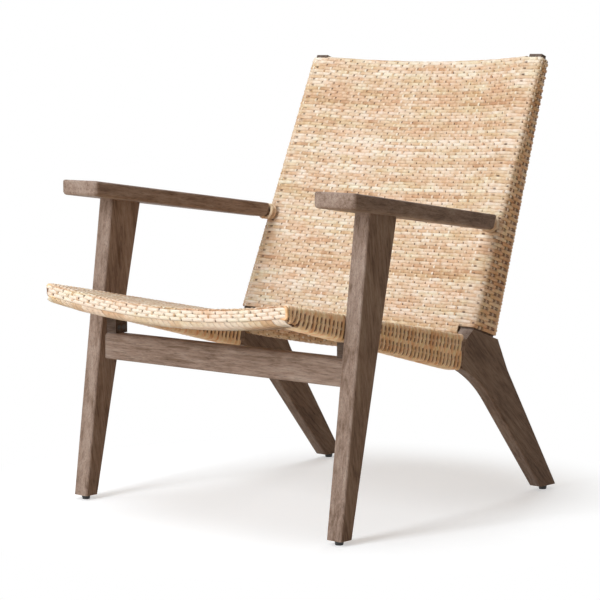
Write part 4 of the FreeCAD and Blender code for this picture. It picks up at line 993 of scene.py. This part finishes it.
def cane_finish(name, level):
    """Natural cane: pale and tan stretches along each strand, patches, fine fibres, painted shade in the
    crevices and painted light on the loops.
    """
    made = bpy.data.materials.get(name)
    if made:
        return made
    colours = bpy.context.scene.chair_colours
    made, nodes, shader = new_material(name)
    tint, along, round_way, pale, step, plump = (
        nodes.add("ShaderNodeAttribute", output="Fac", attribute_name=title)
        for title in ("tint", "along", "round", "pale", "step", "plump"))
    number = nodes.math("MULTIPLY", tint, STRANDS_APART)
    spot = nodes.add("ShaderNodeTexCoord", output="Object")
    strand_place = nodes.add("ShaderNodeCombineXYZ", {"X": along, "Y": number})
    colour = nodes.ramp(
        cane_tone(nodes, spot, strand_place, tint, pale),
        (0.05, shade(colours.cane_tan, level)), (0.30, shade(colours.cane_peach, level)),
        (0.55, shade(colours.cane_cream, level)), (0.90, shade(colours.cane_pale, level)))
    blush = nodes.mapped(spot, Scale=(14.0, 70.0, 70.0), Location=(3.0, 1.0, 2.0))
    hue = nodes.ramp(nodes.noise(blush, scale=1.0, detail=2.0),
                     (0.34, (0.98, 1.0, 0.92)), (0.5, WHITE), (0.66, (1.0, 0.93, 0.90)))
    seam = nodes.math("PINGPONG", round_way, 1.0)
    fibre = nodes.add("ShaderNodeCombineXYZ", {"X": along, "Y": seam, "Z": number})
    drawn = nodes.mapped(fibre, Scale=(60.0, 22.0, 1.0))
    fibre = nodes.noise(drawn, scale=1.0, detail=3.0, Roughness=0.6)
    shade_depth = cane_shade_mask(nodes, spot, fibre, round_way, step, plump)
    # Painted shade: the crevice mask darkens the cane towards the colour of a deep crevice
    shade_paint = nodes.ramp(shade_depth, (0.0, WHITE), (1.0, SHADE_IN_CREVICE))
    # Painted light: the loops round the rails and posts are drawn warmer and brighter
    loop_light_paint = nodes.vector("MULTIPLY_ADD", plump, LOOP_LIGHT_TINT, WHITE)
    for part in (hue, shade_paint, loop_light_paint):
        colour = nodes.vector("MULTIPLY", colour, part)
    nodes.feed(shader, {
        "Base Color": nodes.scaled(colour, nodes.ranged(fibre, 0.3, 0.7, 0.78, 1.08)),
        "Roughness": nodes.ranged(fibre, 0.3, 0.7, 0.38, 0.6),
        "Normal": nodes.bump(fibre, strength=0.35, distance=0.0004),
        "Specular IOR Level": 0.5})
    return made


def wood_finish(name, turn, stretch, level):
    """Stained wood whose grain runs along a piece: turn sets it upright, stretch draws it out."""
    colours = bpy.context.scene.chair_colours
    made, nodes, shader = new_material(name)
    laid = nodes.mapped(nodes.add("ShaderNodeTexCoord", output="Object"),
                        Rotation=(math.radians(turn), 0.0, 0.0))
    drawn = nodes.mapped(laid, Scale=stretch)
    cloud = nodes.mapped(laid, Scale=tuple(1.0 + (part - 1.0) * 0.16 for part in stretch))
    blotch = nodes.noise(cloud, scale=13.0, detail=3.0, Roughness=0.6, Distortion=0.6)
    grain = nodes.noise(drawn, scale=14.0, detail=6.0, Roughness=0.68, Distortion=0.5)
    pores = nodes.noise(drawn, scale=70.0, detail=2.0, Roughness=0.7)
    mixed = nodes.math("MULTIPLY_ADD", blotch, 0.45, nodes.math("MULTIPLY", grain, 0.55))
    colour = nodes.ramp(
        mixed, (0.36, shade(colours.wood_dark, level)), (0.50, shade(colours.wood_light, level)),
        (0.64, shade(colours.wood_worn_and_highlight, level)))
    pored = nodes.scaled(colour, nodes.ranged(pores, 0.34, 0.5, 0.66, 1.0))
    # Paler arrises: partly wear, partly a painted highlight along the edges
    bevel = nodes.add("ShaderNodeBevel", {"Radius": 0.0022}, samples=4)
    flat = nodes.add("ShaderNodeNewGeometry", output="Normal")
    arris = nodes.ranged(nodes.vector("DOT_PRODUCT", bevel, flat), 0.985, 0.86, 0.0, 0.75)
    edge_wear_and_highlight = (*shade(colours.wood_worn_and_highlight, 1.5 * level), 1.0)
    worn_and_highlit = nodes.add("ShaderNodeMix", {
        "Factor": nodes.math("MULTIPLY", arris, blotch), "A": pored, "B": edge_wear_and_highlight}, data_type="RGBA")
    height = nodes.math("MULTIPLY_ADD", pores, 0.5, grain)
    nodes.feed(shader, {
        "Base Color": worn_and_highlit,
        "Roughness": nodes.ranged(grain, 0.3, 0.7, 0.56, 0.40),
        "Normal": nodes.bump(height, strength=0.12, distance=0.0006),
        "Specular IOR Level": 0.10})
    return made


def small_finish(name, colour, metal, rough):
    """Moulded or metal finish of a small part, with faint marks."""
    made, nodes, shader = new_material(name)
    marks = nodes.noise(nodes.add("ShaderNodeTexCoord", output="Object"), scale=400.0, detail=4.0)
    nodes.feed(shader, {
        "Base Color": nodes.ramp(marks, (0.3, shade(colour, 0.75)), (0.7, shade(colour, 1.2))),
        "Roughness": nodes.ranged(marks, low=max(rough - 0.1, 0.05), high=rough + 0.1),
        "Normal": nodes.bump(marks, strength=0.1, distance=0.0003),
        "Metallic": metal})
    return made


def finish_nodes(finish, names):
    """Give CAD nodes a finish."""
    for name in names:
        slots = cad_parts[name].data.materials
        slots.clear()
        slots.append(finish)


def row_finish():
    """Finish of the rows."""
    return cane_finish("Cane rows", 1.0)


def stake_finish():
    """Finish of the stakes and of the collars, drawn a little paler as a painted highlight on the stakes'
    ticks.
    """
    return cane_finish("Cane stakes", STAKE_HIGHLIGHT_LEVEL)


def weave_rows(panel, rows, width):
    """Weave the rows of the seat or the back, and give the first piece."""
    weave = bpy.context.scene.chair_weave
    finish = row_finish()
    left, right, rolls = rows
    first = woven(f"{panel}_rows_left", left, width, weave.thickness, finish)
    woven(f"{panel}_rows_right", right, width, weave.thickness, finish)
    woven(f"{panel}_roll_rows", rolls, weave.row_width, weave.thickness, finish)
    return first


def weave_stakes(panel, stake_guides):
    """Weave the stakes of the seat or the back."""
    weave = bpy.context.scene.chair_weave
    for half, side in SIDES:
        woven(f"{panel}_stakes_{side}", stake_guides(half, weave), weave.stake_width,
              weave.thickness * STAKE_THINNESS, stake_finish(), STAKE_SIDES)


# Operators

class CHAIR_OT_weave_seat(bpy.types.Operator):
    """Weave the seat over its side rails and round its front and rear rails"""

    bl_idname = "chair.weave_seat"
    bl_label = "Weave seat"

    def execute(self, context):
        weave = context.scene.chair_weave
        width = weave.row_width * weave.seat_pitch / weave.row_pitch
        first = weave_rows("seat", seat_rows(weave), width)
        woven("seat_roll_wraps", roll_wraps(weave), weave.stake_pitch * WRAP_WIDTH, WRAP_THICKNESS,
              row_finish())
        weave_stakes("seat", seat_stakes)
        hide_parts("woven_seat")
        return {"FINISHED"}


class CHAIR_OT_weave_back(bpy.types.Operator):
    """Weave the back between its posts and round them and its rails"""

    bl_idname = "chair.weave_back"
    bl_label = "Weave back"

    def execute(self, context):
        weave = context.scene.chair_weave
        first = weave_rows("back", back_rows(weave), weave.row_width)
        weave_stakes("back", back_stakes)
        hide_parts("woven_back")
        return {"FINISHED"}


class CHAIR_OT_wind_collars(bpy.types.Operator):
    """Wind round cane round the neck of each arm"""

    bl_idname = "chair.wind_collars"
    bl_label = "Wind collars"

    def execute(self, context):
        weave = context.scene.chair_weave
        for half, side in SIDES:
            piece = woven(f"collar_cane_{side}", collar_guides(half, weave), weave.collar_cane,
                          weave.collar_cane, stake_finish(), COLLAR_SIDES, 0.0)
            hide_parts(f"arm_collar_{side}")
        return {"FINISHED"}


class CHAIR_OT_finish_wood(bpy.types.Operator):
    """Stain the wood of the frame, with the grain along each board"""

    bl_idname = "chair.finish_wood"
    bl_label = "Finish wood"

    def execute(self, context):
        for name, turn, stretch, level, nodes in WOOD:
            finish_nodes(wood_finish(name, turn, stretch, level), nodes)
        return {"FINISHED"}


class CHAIR_OT_finish_fixings(bpy.types.Operator):
    """Finish the dowels, nails, screws and glides"""

    bl_idname = "chair.finish_fixings"
    bl_label = "Finish fixings"

    def execute(self, context):
        dowels = [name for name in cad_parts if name.endswith("_dowels")]
        glide = tuple(context.scene.chair_colours.glide)
        finish_nodes(small_finish("Dowel wood", (0.55, 0.38, 0.22), metal=0.0, rough=0.6), dowels)
        finish_nodes(small_finish("Fixing steel", (0.09, 0.085, 0.08), metal=1.0, rough=0.5),
                     ("glide_nails", "block_screws"))
        finish_nodes(small_finish("Glide plastic", glide, metal=0.0, rough=0.45), ("glides",))
        return {"FINISHED"}


class CHAIR_OT_set_stage(bpy.types.Operator):
    """Set the floor, the light and the camera of the studio"""

    bl_idname = "chair.set_stage"
    bl_label = "Set stage"

    def execute(self, context):
        scene = context.scene
        stage = scene.chair_stage
        scene.view_settings.view_transform = "Standard"
        self.set_world(scene, stage)
        self.set_floor(scene, stage)
        self.set_lamps(scene, stage)
        self.set_camera(scene)
        return {"FINISHED"}

    def set_world(self, scene, stage):
        """White seen directly and in gloss, softer light on the chair."""
        world = bpy.data.worlds.new("Studio")
        world.use_nodes = True
        world.node_tree.nodes.clear()
        nodes = Nodes(world.node_tree)
        seen = nodes.seen()
        light = nodes.add("ShaderNodeBackground", {
            "Color": nodes.ramp(seen, (0.0, tuple(stage.ambient_tone)), (1.0, WHITE)),
            "Strength": nodes.ranged(seen, low=stage.ambient)})
        nodes.add("ShaderNodeOutputWorld", {"Surface": light})
        scene.world = world

    def set_floor(self, scene, stage):
        """Pale floor that keeps the shadow near the chair and runs out into white."""
        mesh = bpy.data.meshes.new("floor")
        corners = [(x * FLOOR_REACH, y * FLOOR_REACH, 0.0) for x, y in ((-1, -1), (1, -1), (1, 1), (-1, 1))]
        mesh.from_pydata(corners, [], [(0, 1, 2, 3)])
        floor = bpy.data.objects.new("floor", mesh)
        scene.collection.objects.link(floor)
        made = bpy.data.materials.new("Pale floor")
        made.use_nodes = True
        made.node_tree.nodes.clear()
        nodes = Nodes(made.node_tree)
        away = nodes.vector("LENGTH", nodes.add("ShaderNodeTexCoord", output="Object"))
        fade = nodes.ranged(away, *FLOOR_FADE, ease="SMOOTHSTEP")
        seen = nodes.seen()
        matt = nodes.add("ShaderNodeBsdfDiffuse", {
            "Color": nodes.ramp(seen, (0.0, tuple(stage.floor)), (1.0, FLOOR_SEEN))})
        white = (*WHITE, 1.0)
        glow = nodes.add("ShaderNodeEmission", {
            "Color": white, "Strength": nodes.math("MULTIPLY", seen, stage.floor_white)})
        near = nodes.add("ShaderNodeAddShader", {0: matt, 1: glow})
        mixed = nodes.add("ShaderNodeMixShader", {
            0: nodes.math("MULTIPLY", fade, seen), 1: near,
            2: nodes.add("ShaderNodeEmission", {"Color": white})})
        nodes.add("ShaderNodeOutputMaterial", {"Surface": mixed})
        mesh.materials.append(made)

    def set_lamps(self, scene, stage):
        """A large soft lamp before the chair, one overhead and a dimmer one behind."""
        for name, energy, wide, high, spot in (
                ("Key", stage.key_power, 1.2, 2.6, (-0.2, -3.5, 1.6)),
                ("Top", stage.top_power, 2.0, 2.0, (-0.4, -0.7, 3.2)),
                ("Rear", stage.rear_power, 2.0, 2.0, (-1.2, 3.4, 1.9))):
            lamp = bpy.data.lights.new(name, "AREA")
            lamp.energy = energy
            lamp.color = stage.lamp_tone
            lamp.shape = "RECTANGLE"
            lamp.size = wide
            lamp.size_y = high
            held = bpy.data.objects.new(name, lamp)
            held.location = spot
            held.rotation_euler = (LAMP_AIM - held.location).to_track_quat("-Z", "Y").to_euler()
            scene.collection.objects.link(held)

    def set_camera(self, scene):
        """Camera at the photograph's place, taken to be square."""
        lens = bpy.data.cameras.new("View")
        lens.lens = CAMERA_LENS
        lens.sensor_width = CAMERA_SENSOR
        lens.clip_end = CAMERA_REACH
        camera = bpy.data.objects.new("View", lens)
        camera.location = CAMERA_PLACE
        camera.rotation_euler = (CAMERA_AIM - CAMERA_PLACE).to_track_quat("-Z", "Y").to_euler()
        scene.collection.objects.link(camera)
        scene.camera = camera


class CHAIR_PT_steps(bpy.types.Panel):
    """Steps that finish the chair"""

    bl_idname = "CHAIR_PT_steps"
    bl_label = "Woven lounge chair"
    bl_space_type = "VIEW_3D"
    bl_region_type = "UI"
    bl_category = "Chair"

    def draw(self, context):
        for _, title in GROUPS:
            group = getattr(context.scene, title)
            box = self.layout.box()
            for name in group.bl_rna.properties.keys():
                if name not in ("rna_type", "name"):
                    box.prop(group, name)
        for step in STEPS:
            self.layout.operator(step.bl_idname)


STEPS = (
    CHAIR_OT_set_stage, CHAIR_OT_weave_seat, CHAIR_OT_weave_back, CHAIR_OT_wind_collars,
    CHAIR_OT_finish_wood, CHAIR_OT_finish_fixings)
GROUPS = ((ChairWeave, "chair_weave"), (ChairColours, "chair_colours"), (ChairStage, "chair_stage"))


def register():
    """Register the settings, the steps and the panel."""
    for group, name in GROUPS:
        bpy.utils.register_class(group)
        setattr(bpy.types.Scene, name, PointerProperty(type=group))
    for step in STEPS:
        bpy.utils.register_class(step)
    bpy.utils.register_class(CHAIR_PT_steps)


def unregister():
    """Take the panel, the steps and the settings away again."""
    bpy.utils.unregister_class(CHAIR_PT_steps)
    for step in reversed(STEPS):
        bpy.utils.unregister_class(step)
    for group, name in reversed(GROUPS):
        delattr(bpy.types.Scene, name)
        bpy.utils.unregister_class(group)


def main():
    """Finish the chair."""
    register()
    bpy.ops.chair.set_stage()
    bpy.ops.chair.weave_seat()
    bpy.ops.chair.weave_back()
    bpy.ops.chair.wind_collars()
    bpy.ops.chair.finish_wood()
    bpy.ops.chair.finish_fixings()


if __name__ == "__main__":
    main()
